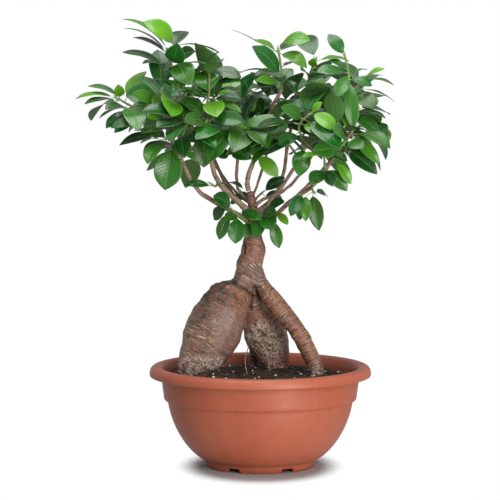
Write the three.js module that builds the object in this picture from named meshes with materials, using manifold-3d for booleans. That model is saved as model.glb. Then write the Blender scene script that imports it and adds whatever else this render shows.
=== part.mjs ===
// A ginseng ficus bonsai: swollen roots standing on the soil of a round plastic bowl,
// bare branches above them and a crown of short leafy sprays.
// Millimetres, +Z up, the front of the tree towards -Y, standing on Z = 0.
import * as THREE from 'three';
import { mergeVertices } from 'three/addons/utils/BufferGeometryUtils.js';
import Module from 'manifold-3d';

const wasm = await Module();
wasm.setup();

// ---- driving dimensions -------------------------------------------------------------
const GAP = 0.3; // clearance between neighbouring pieces

const RIM_RADIUS = 125; // outside of the bowl's lip
const LIP_WIDTH = 14; // overhang of the lip beyond the wall under it
const LIP_HEIGHT = 11.4;
const POT_HEIGHT = 114.4;
const WALL = 2.5;
const BAND_HEIGHT = 28.8; // upright band between the lip and the bowl
const BAND_STEP = 2.8; // how far the band stands out over the bowl
const FOOT_RADIUS = 60.6;
const FOOT_WIDTH = 4.5;
const FOOT_HEIGHT = 8.8;
const FLOOR_HEIGHT = 5.2; // underside of the floor inside the foot ring
const NOTCHES = 6; // drain notches through the foot ring
const NOTCH_WIDTH = 18;
const NOTCH_HEIGHT = 4.8;
const DRAINS = 4;
const DRAIN_RADIUS = 4;
const DRAIN_CIRCLE = 38;

const SOIL_DROP = 15; // soil edge below the top of the lip
const SOIL_MOUND = 8; // height of the middle of the soil over its edge

const TURNED_SIDES = 32; // facets round the bowl and the soil
const ROOT_SCALE = 1; // thickness of every root and of the neck
const ROOT_DEPTH = 20; // how far the roots reach into the soil
const BRANCH_SCALE = 1; // thickness of every branch

const BRANCH_SIDES = 6;

const SHOOT_RADIUS = 1.5;
const BUD_LENGTH = 6;
const GROWN_LENGTH = 50; // blade length of the leaves grown by rule
const CROWN_LEFT = -194; // the leaves grown by rule keep their tips between these two
const CROWN_RIGHT = 148;
const LEAF_SCALE = 1; // size of every leaf
const LEAF_THICKNESS = 0.9;
const LEAF_RATIO = 1.9; // blade length over its width, for the leaves grown by rule
const PETIOLE_RADIUS = 0.8;
const SHOOT_START = 0.1; // share of a shoot's stations at which its first leaf may sit
const BUD_START = 0.66; // share of a shoot's stations at which its bud begins
const STALK_MIN = 5; // least run of a stalk along its leaf
const STALK_SINK = 0.1; // how far a stalk runs past the middle of its shoot
const WING_RISE = 0.17; // how steeply the two halves of a blade fold up
const YOUNG_BELLY = 0.4; // broadest point along a blade, young leaves
const OLD_BELLY = 0.54; // and old ones
const SHIFTS = [0, -6, 6, -12, 12, -20, 20, -28, 28, -38, 38]; // moves tried to clear the neighbours
const ROLLS = [0, 0.35, -0.35]; // turns about the leaf's own length tried with each move
const SWINGS = [0, 18, -18, 36, -36, 54, -54, 75, -75, 100, -100, 130, -130]; // for the leaves grown by rule
const SLOPES = [0, 0.25, -0.25, 0.5]; // rise of the tip tried with each swing
const PLANT_GROUND = 99.4; // height of the soil's edge in the numbers of the roots, branches and sprays

const POT_COLOUR = '#b5603f';
const SOIL_COLOUR = '#2b211b';
const ROOT_COLOUR = '#7d6253';
const BRANCH_COLOUR = '#6f5446';
const LEAF_COLOUR = '#2f6a2a';

// ---- solids ---------------------------------------------------------------------------
function solidOf(geometry) {
  const bare = geometry.clone();
  bare.deleteAttribute('normal');
  bare.deleteAttribute('uv');
  const merged = mergeVertices(bare, 1e-4);
  return new wasm.Manifold(new wasm.Mesh({
    numProp: 3,
    vertProperties: Float32Array.from(merged.attributes.position.array),
    triVerts: Uint32Array.from(merged.index.array),
  }));
}

function geometryOf(solid) {
  const mesh = solid.getMesh();
  const geometry = new THREE.BufferGeometry();
  geometry.setAttribute('position', new THREE.BufferAttribute(mesh.vertProperties, 3));
  geometry.setIndex(new THREE.BufferAttribute(mesh.triVerts, 1));
  geometry.computeVertexNormals();
  return geometry;
}

const model = new THREE.Group();

function addPart(name, solid, colour, roughness) {
  const material = new THREE.MeshStandardMaterial({ color: colour, roughness, metalness: 0 });
  const mesh = new THREE.Mesh(geometryOf(solid), material);
  mesh.name = name;
  model.add(mesh);
}

// Two solids whose boxes are apart cannot touch, which saves most of the cuts.
function boxesMeet(a, b) {
  const [p, q] = [a.boundingBox(), b.boundingBox()];
  return [0, 1, 2].every((i) => p.min[i] < q.max[i] && q.min[i] < p.max[i]);
}

function clashes(a, b) {
  if (!boxesMeet(a, b)) return false;
  const common = a.intersect(b);
  const hit = !common.isEmpty();
  common.delete();
  return hit;
}

// ---- round limbs ------------------------------------------------------------------------
// Stations are [x, y, z, half width across the front view, half depth].
function limb(stations, sides, steps, grow = 0) {
  const middle = new THREE.CatmullRomCurve3(stations.map((s) => new THREE.Vector3(s[0], s[1], s[2])));
  const girth = new THREE.CatmullRomCurve3(stations.map((s) => new THREE.Vector3(s[3], s[4] ?? s[3], 0)));
  const shape = new THREE.CylinderGeometry(1, 1, 1, sides, steps);
  const place = shape.attributes.position;
  const depthwise = new THREE.Vector3(0, 1, 0);
  const spare = new THREE.Vector3(1, 0, 0);
  for (let i = 0; i < place.count; i += 1) {
    const t = place.getY(i) + 0.5;
    const centre = middle.getPoint(t);
    const along = middle.getTangent(t);
    const reference = Math.abs(along.y) > 0.9 ? spare : depthwise;
    const across = new THREE.Vector3().crossVectors(along, reference).normalize();
    const deep = new THREE.Vector3().crossVectors(across, along);
    const radii = girth.getPoint(t);
    const end = (t < 0.001 ? -grow : 0) + (t > 0.999 ? grow : 0);
    centre.addScaledVector(across, place.getX(i) * (radii.x + grow));
    centre.addScaledVector(deep, place.getZ(i) * (radii.y + grow));
    centre.addScaledVector(along, end);
    place.setXYZ(i, centre.x, centre.y, centre.z);
  }
  return solidOf(shape);
}

function pointOn(stations, t) {
  const curve = new THREE.CatmullRomCurve3(stations.map((s) => new THREE.Vector3(s[0], s[1], s[2])));
  return curve.getPoint(t);
}

// ---- pot ----------------------------------------------------------------------------------
const WALL_TOP_RADIUS = RIM_RADIUS - LIP_WIDTH;
const BAND_BOTTOM_RADIUS = WALL_TOP_RADIUS - 3.5;
const BOWL_TOP_RADIUS = BAND_BOTTOM_RADIUS - BAND_STEP - 1.1;
const LIP_BOTTOM = POT_HEIGHT - LIP_HEIGHT;
const BAND_BOTTOM = LIP_BOTTOM - BAND_HEIGHT;
const BOWL_START_RADIUS = FOOT_RADIUS + 3.9;
const INNER_FLOOR = FLOOR_HEIGHT + WALL + 1;

function bowlCurve(inset, count) {
  const rise = BAND_BOTTOM - FOOT_HEIGHT;
  const flare = BOWL_TOP_RADIUS - BOWL_START_RADIUS;
  const curve = new THREE.CubicBezierCurve(
    new THREE.Vector2(BOWL_START_RADIUS - inset, FOOT_HEIGHT + inset * 0.3),
    new THREE.Vector2(BOWL_START_RADIUS + 0.45 * flare - inset * 0.7, FOOT_HEIGHT + 0.13 * rise + inset * 0.7),
    new THREE.Vector2(BOWL_START_RADIUS + 0.9 * flare - inset, FOOT_HEIGHT + 0.55 * rise),
    new THREE.Vector2(BOWL_TOP_RADIUS - inset, BAND_BOTTOM),
  );
  return curve.getPoints(count);
}

function potProfile() {
  const inner = bowlCurve(WALL, 5).reverse();
  return [
    new THREE.Vector2(0, FLOOR_HEIGHT),
    new THREE.Vector2(FOOT_RADIUS - FOOT_WIDTH - 1, FLOOR_HEIGHT),
    new THREE.Vector2(FOOT_RADIUS - FOOT_WIDTH, 0),
    new THREE.Vector2(FOOT_RADIUS, 0),
    ...bowlCurve(0, 6),
    new THREE.Vector2(BAND_BOTTOM_RADIUS, BAND_BOTTOM + 1.5),
    new THREE.Vector2(WALL_TOP_RADIUS, LIP_BOTTOM),
    new THREE.Vector2(RIM_RADIUS - 0.8, LIP_BOTTOM),
    new THREE.Vector2(RIM_RADIUS, LIP_BOTTOM + 2),
    new THREE.Vector2(RIM_RADIUS - 0.4, POT_HEIGHT - 4.6),
    new THREE.Vector2(RIM_RADIUS - 2.6, POT_HEIGHT - 1.4),
    new THREE.Vector2(RIM_RADIUS - 7, POT_HEIGHT),
    new THREE.Vector2(RIM_RADIUS - 12.5, POT_HEIGHT - 1),
    new THREE.Vector2(RIM_RADIUS - 14.8, POT_HEIGHT - 3.6),
    new THREE.Vector2(WALL_TOP_RADIUS - WALL - 0.6, LIP_BOTTOM),
    new THREE.Vector2(BAND_BOTTOM_RADIUS - WALL, BAND_BOTTOM + 1.5),
    ...inner,
    new THREE.Vector2(BOWL_START_RADIUS - 2 * WALL, INNER_FLOOR),
    new THREE.Vector2(0, INNER_FLOOR),
  ];
}

function turned(profile, sides) {
  return new THREE.LatheGeometry(profile, sides).rotateX(Math.PI / 2);
}

// A cutter with slanting sides for one notch of the foot ring, at the front of the bowl.
function notchCutter(turn) {
  const half = NOTCH_WIDTH / 2;
  const slant = NOTCH_HEIGHT / 2;
  const outline = new THREE.Shape([
    new THREE.Vector2(-half - 1, -1),
    new THREE.Vector2(half + 1, -1),
    new THREE.Vector2(half - slant, NOTCH_HEIGHT),
    new THREE.Vector2(slant - half, NOTCH_HEIGHT),
  ]);
  const depth = FOOT_RADIUS;
  const block = new THREE.ExtrudeGeometry(outline, { depth, bevelEnabled: false });
  block.rotateX(Math.PI / 2);
  block.translate(0, -(FOOT_RADIUS - FOOT_WIDTH) + 8, 0);
  block.rotateZ(turn);
  return solidOf(block);
}

function buildPot() {
  let pot = solidOf(turned(potProfile(), TURNED_SIDES));
  for (let i = 0; i < NOTCHES; i += 1) {
    pot = pot.subtract(notchCutter(((i + 0.5) / NOTCHES) * 2 * Math.PI));
  }
  for (let i = 0; i < DRAINS; i += 1) {
    const angle = (i / DRAINS) * 2 * Math.PI;
    const hole = new THREE.CylinderGeometry(DRAIN_RADIUS, DRAIN_RADIUS, 20, 10).rotateX(Math.PI / 2);
    hole.translate(DRAIN_CIRCLE * Math.cos(angle), DRAIN_CIRCLE * Math.sin(angle), INNER_FLOOR);
    pot = pot.subtract(solidOf(hole));
  }
  return pot;
}

// ---- soil -----------------------------------------------------------------------------------
const SOIL_EDGE = POT_HEIGHT - SOIL_DROP;
const SOIL_RADIUS = BAND_BOTTOM_RADIUS
  + (WALL_TOP_RADIUS - BAND_BOTTOM_RADIUS) * ((SOIL_EDGE - BAND_BOTTOM) / BAND_HEIGHT) - WALL - GAP - 0.9;

function soilHeight(x, y) {
  const share = Math.min(Math.hypot(x, y) / SOIL_RADIUS, 1);
  const lumps = 1.2 * Math.sin(x / 17 + 1) * Math.cos(y / 13) + 0.8 * Math.sin((x - y) / 9);
  return SOIL_EDGE + SOIL_MOUND * (1 - share ** 2.5) + lumps * (1 - share ** 4);
}

function buildSoil() {
  const side = bowlCurve(WALL + GAP + 0.4, 4);
  const top = [1, 0.86, 0.7, 0.5, 0.3, 0].map((s) => new THREE.Vector2(s * SOIL_RADIUS, SOIL_EDGE));
  const profile = [
    new THREE.Vector2(0, INNER_FLOOR + GAP),
    new THREE.Vector2(BOWL_START_RADIUS - 2 * WALL - 2, INNER_FLOOR + GAP),
    ...side.slice(1),
    ...top,
  ];
  const shape = turned(profile, TURNED_SIDES);
  const place = shape.attributes.position;
  for (let i = 0; i < place.count; i += 1) {
    if (place.getZ(i) > SOIL_EDGE - 0.01) place.setZ(i, soilHeight(place.getX(i), place.getY(i)));
  }
  return solidOf(shape);
}

// ---- trunk and roots --------------------------------------------------------------------------
const UNDER = PLANT_GROUND - ROOT_DEPTH;

const ROOTS = {
  neck: [
    [-17, -2, 196, 12], [-13, -1, 214, 17], [-13, 0, 222, 14.5], [-11, 0, 233, 13], [-8, 0, 245, 13],
    [-8, 0, 262, 9.5], [-8, 0, 277, 7.6], [-8, 0, 290, 6.2], [-10, 1, 303, 5], [-12, 1, 312, 4],
  ],
  bulb: [
    [-15, -4, 225, 9], [-23, -9, 212, 16.5], [-33, -15, 198, 25.4, 23], [-43, -21, 180, 29.5, 28],
    [-50, -26, 164, 31.7, 30], [-56, -29, 150, 31.7, 30], [-63, -31, 134, 28, 26], [-72, -31, 119, 20, 20],
    [-80, -30, UNDER + 8, 13, 13], [-86, -28, UNDER, 7, 7],
  ],
  middle: [
    [-12, 4, 205, 11], [-9, 14, 188, 12, 11], [-6, 24, 172, 15, 14], [1, 31, 157, 23, 17], [6, 36, 144, 24.5, 18],
    [11, 39, 133, 22.7, 17], [15, 40, 122, 20, 16], [18, 41, 109, 15, 14], [20, 42, UNDER, 9, 9],
  ],
  back: [
    [-6, 28, 164, 9], [-8, 46, 148, 8], [-7, 58, 132, 6], [-7, 64, 114, 5.5], [-7, 68, UNDER, 4.5],
  ],
  right: [
    [-7, -3, 221, 11], [1, -6, 209, 10.5], [10, -10, 195, 11], [20.6, -13, 181, 11.6], [31, -15, 169, 11],
    [38, -16, 160, 10.2], [46, -17, 148, 10], [53, -18, 135, 9.8], [58, -18, 125, 9.4], [63, -18, 113, 8.6],
    [69, -18, UNDER, 6.5],
  ],
};

function thickened(stations, scale) {
  return stations.map(([x, y, z, wide, deep]) => [x, y, z, wide * scale, (deep ?? wide) * scale]);
}

function buildTrunk(grow) {
  return Object.values(ROOTS)
    .map((stations) => limb(thickened(stations, ROOT_SCALE), 12, stations.length, grow))
    .reduce((whole, root) => whole.add(root));
}

// ---- branches -----------------------------------------------------------------------------------
// Each starts inside the trunk or inside an earlier branch, and is cut back to clear it.
const BRANCHES = {
  branch_left_low: [
    [-8, -1, 272, 3.4], [-26, -8, 287, 3.2], [-55, -16, 303, 3], [-72, -20, 316, 2.8], [-81, -24, 333, 2.6],
    [-89, -28, 352, 2.4], [-98, -30, 376, 2.2], [-116, -26, 396, 1.9],
  ],
  branch_left_top: [
    [-9, -2, 284, 4.2], [-21, -6, 297, 3.9], [-36, -10, 311, 3.6], [-48, -14, 324, 3.3], [-54, -16, 341, 3],
    [-60, -14, 370, 2.7], [-76, -10, 398, 2.4], [-90, -8, 422, 2.2],
  ],
  branch_centre: [
    [-12, 1, 308, 3.6], [-15, 1, 322, 3.4], [-12, 0, 334, 3.2], [-6, -1, 350, 2.9], [2, 0, 378, 2.6],
    [12, 2, 404, 2.4], [24, 3, 426, 2.2],
  ],
  branch_back_dark: [
    [-10, 2, 300, 2.6], [-20, 12, 307, 2.3], [-27, 18, 316, 2.2], [-26, 22, 338, 2.1], [-24, 24, 366, 2],
    [-19, 22, 392, 1.9], [-16, 18, 410, 1.7],
  ],
  branch_back_thin: [
    [-10, 4, 297, 2.2], [-26, 30, 306, 2], [-44, 56, 326, 1.9], [-62, 78, 352, 1.8], [-78, 92, 380, 1.6],
  ],
  branch_middle_thin: [
    [-9, 4, 305, 2], [-3, 20, 318, 1.8], [4, 34, 340, 1.7], [12, 48, 366, 1.6], [18, 62, 392, 1.5],
  ],
  branch_right_light: [
    [-6, -3, 296, 2.5], [4, -8, 304, 2.3], [15, -13, 308, 2.2], [28, -18, 315, 2.1], [40, -23, 327, 2],
    [52, -28, 345, 2], [68, -27, 372, 1.9], [84, -20, 400, 1.9], [96, -12, 420, 1.7],
  ],
  branch_right_low: [
    [-5, -2, 272, 3.2], [12, -14, 283, 3], [24, -22, 293, 2.9], [35, -30, 305, 2.7], [50, -38, 315, 2.5],
    [63, -44, 325, 2.3], [76, -48, 345, 2.1], [90, -50, 366, 1.9],
  ],
  branch_right_back: [
    [-4, 3, 288, 3], [12, 22, 300, 2.6], [25, 36, 320, 2.4], [29, 40, 346, 2.3], [33, 38, 376, 2.2],
    [44, 30, 404, 2], [52, 22, 424, 1.8],
  ],
  branch_back_left: [
    [-10, 5, 280, 2.8], [-28, 40, 300, 2.5], [-48, 72, 330, 2.3], [-60, 96, 366, 2], [-64, 104, 396, 1.7],
  ],
  branch_back_right: [
    [-4, 5, 278, 2.8], [16, 46, 300, 2.5], [40, 78, 334, 2.2], [58, 96, 366, 2], [66, 100, 396, 1.7],
  ],
  branch_far_right: [
    [-2, 3, 266, 2.6], [30, 40, 292, 2.3], [66, 56, 326, 2.1], [94, 56, 360, 1.9], [110, 50, 392, 1.6],
  ],
};

function buildBranches(trunkCutter) {
  const cutters = [trunkCutter];
  const built = {};
  Object.entries(BRANCHES).forEach(([name, stations]) => {
    const path = thickened(stations, BRANCH_SCALE);
    let branch = limb(path, BRANCH_SIDES, stations.length);
    cutters.filter((cutter) => boxesMeet(cutter, branch)).forEach((cutter) => {
      branch = branch.subtract(cutter);
    });
    cutters.push(limb(path, BRANCH_SIDES, stations.length, GAP));
    built[name] = branch;
  });
  return built;
}

// ---- leaves -------------------------------------------------------------------------------------
// A blade is a thin lens with a folded, arched upper side: its stalk end, two points on each edge, a
// tip and one point in its middle above and below.  The stalk is a three-sided rod ending inside the
// shoot.  The margin swells the blade, to keep it clear of its neighbours.
function leafSolid(leaf, margin, withStalk) {
  const { root, base, tip, up, width, arch, belly } = leaf;
  const along = new THREE.Vector3().subVectors(tip, base);
  const length = along.length();
  along.normalize();
  const normal = up.clone().addScaledVector(along, -up.dot(along)).normalize();
  const across = new THREE.Vector3().crossVectors(along, normal);
  const half = width / 2 + margin;
  const bow = (t) => 4 * arch * length * t * (1 - t);
  const at = (t, side, lift) => base.clone()
    .addScaledVector(along, t * length)
    .addScaledVector(across, side)
    .addScaledVector(normal, bow(t) + WING_RISE * Math.abs(side) + lift);
  const inwards = new THREE.Vector3().subVectors(root, base).normalize();
  const foot = (side, lift) => root.clone()
    .addScaledVector(inwards, STALK_SINK)
    .addScaledVector(across, side)
    .addScaledVector(normal, lift);
  const stalk = PETIOLE_RADIUS + margin / 2;
  const keel = -1.5 * stalk;
  const points = [
    at(0, -stalk, 0), at(0, stalk, 0), at(0, 0, keel),
    at(0.26, -0.84 * half, 0), at(0.26, 0.84 * half, 0),
    at(0.66, -0.86 * half, 0), at(0.66, 0.86 * half, 0),
    at(1 + margin / length, 0, 0), at(belly, 0, margin), at(belly, 0, -LEAF_THICKNESS - margin),
    foot(-stalk, 0), foot(stalk, 0), foot(0, keel),
  ];
  const blade = [
    [0, 1, 8], [0, 8, 3], [3, 8, 5], [5, 8, 7], [7, 8, 6], [6, 8, 4], [4, 8, 1],
    [0, 3, 9], [3, 5, 9], [5, 7, 9], [7, 6, 9], [6, 4, 9], [4, 1, 9], [1, 2, 9], [2, 0, 9],
  ];
  const rod = [[10, 12, 11], [0, 10, 11], [0, 11, 1], [1, 11, 12], [1, 12, 2], [2, 12, 10], [2, 10, 0]];
  const geometry = new THREE.BufferGeometry();
  geometry.setAttribute('position', new THREE.Float32BufferAttribute(points.flatMap((p) => p.toArray()), 3));
  geometry.setIndex(blade.concat(withStalk ? rod : [[0, 2, 1]]).flat());
  return solidOf(geometry);
}

// The same value from 0 to 1 every time for the same seed.
function chance(seed) {
  const value = Math.sin(seed * 12.9898 + 4.1) * 43758.5453;
  return value - Math.floor(value);
}

// The place on a shoot that lies nearest to a blade's stalk end, as seen from the front.
function nearestOnShoot(curve, x, z) {
  const stops = Array.from({ length: 13 }, (_, i) => curve.getPoint(SHOOT_START + (BUD_START - SHOOT_START) * (i / 12)));
  return stops.reduce((best, p) => (Math.hypot(p.x - x, p.z - z) < Math.hypot(best.x - x, best.z - z) ? p : best));
}

// A leaf set by hand: where its blade starts and ends as seen from the front, how far its tip comes
// forward, its width, how far its upper side turns from straight up to the front, its age and arch.
function placedLeaf(curve, [baseX, baseZ, tipX, tipZ, forward, width, face, age, arch = 0.09]) {
  const root = nearestOnShoot(curve, baseX, baseZ);
  const base = new THREE.Vector3(baseX, root.y - 0.2 * forward, baseZ);
  const end = base.clone().add(new THREE.Vector3(tipX - baseX, -forward, tipZ - baseZ));
  const heading = end.clone().sub(root).normalize();
  if (base.clone().sub(root).dot(heading) < STALK_MIN) base.copy(root).addScaledVector(heading, STALK_MIN);
  const reach = end.sub(base).multiplyScalar(LEAF_SCALE);
  const turn = THREE.MathUtils.degToRad(face);
  return {
    root,
    base,
    tip: base.clone().add(reach),
    up: new THREE.Vector3(0, -Math.sin(turn), Math.cos(turn)),
    width: width * LEAF_SCALE,
    arch,
    belly: OLD_BELLY + (YOUNG_BELLY - OLD_BELLY) * age,
  };
}

// A leaf grown by rule: leaves follow each other round the shoot by the golden angle.
function grownLeaf(curve, order, count, seed) {
  const t = 0.3 + ((BUD_START - 0.3) * (order + 1)) / count;
  const root = curve.getPoint(t);
  const along = curve.getTangent(t);
  const side = new THREE.Vector3(0, 1, 0).cross(along).normalize();
  const other = new THREE.Vector3().crossVectors(along, side);
  const angle = order * 2.399 + seed;
  const lift = 0.15 + 0.5 * (order / count) + 0.2 * (chance(seed + order) - 0.5);
  const out = new THREE.Vector3()
    .addScaledVector(side, Math.cos(angle))
    .addScaledVector(other, Math.sin(angle))
    .addScaledVector(along, lift)
    .normalize();
  out.z *= 0.6;
  const length = GROWN_LENGTH * (0.82 + 0.3 * chance(seed * 3 + order)) * LEAF_SCALE;
  const base = root.clone().addScaledVector(out, 8 + 4 * chance(seed + 2 * order));
  out.z -= 0.22;
  return {
    root,
    base,
    tip: base.clone().addScaledVector(out.normalize(), length),
    up: new THREE.Vector3(chance(seed + order * 5) - 0.5, -0.2 + 0.8 * (chance(seed + order * 7) - 0.5), 1),
    width: length / LEAF_RATIO,
    arch: 0.07 + 0.06 * chance(seed * 2 + order),
    belly: OLD_BELLY + (YOUNG_BELLY - OLD_BELLY) * (chance(seed * 7 + order * 11) ** 4),
  };
}

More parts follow.
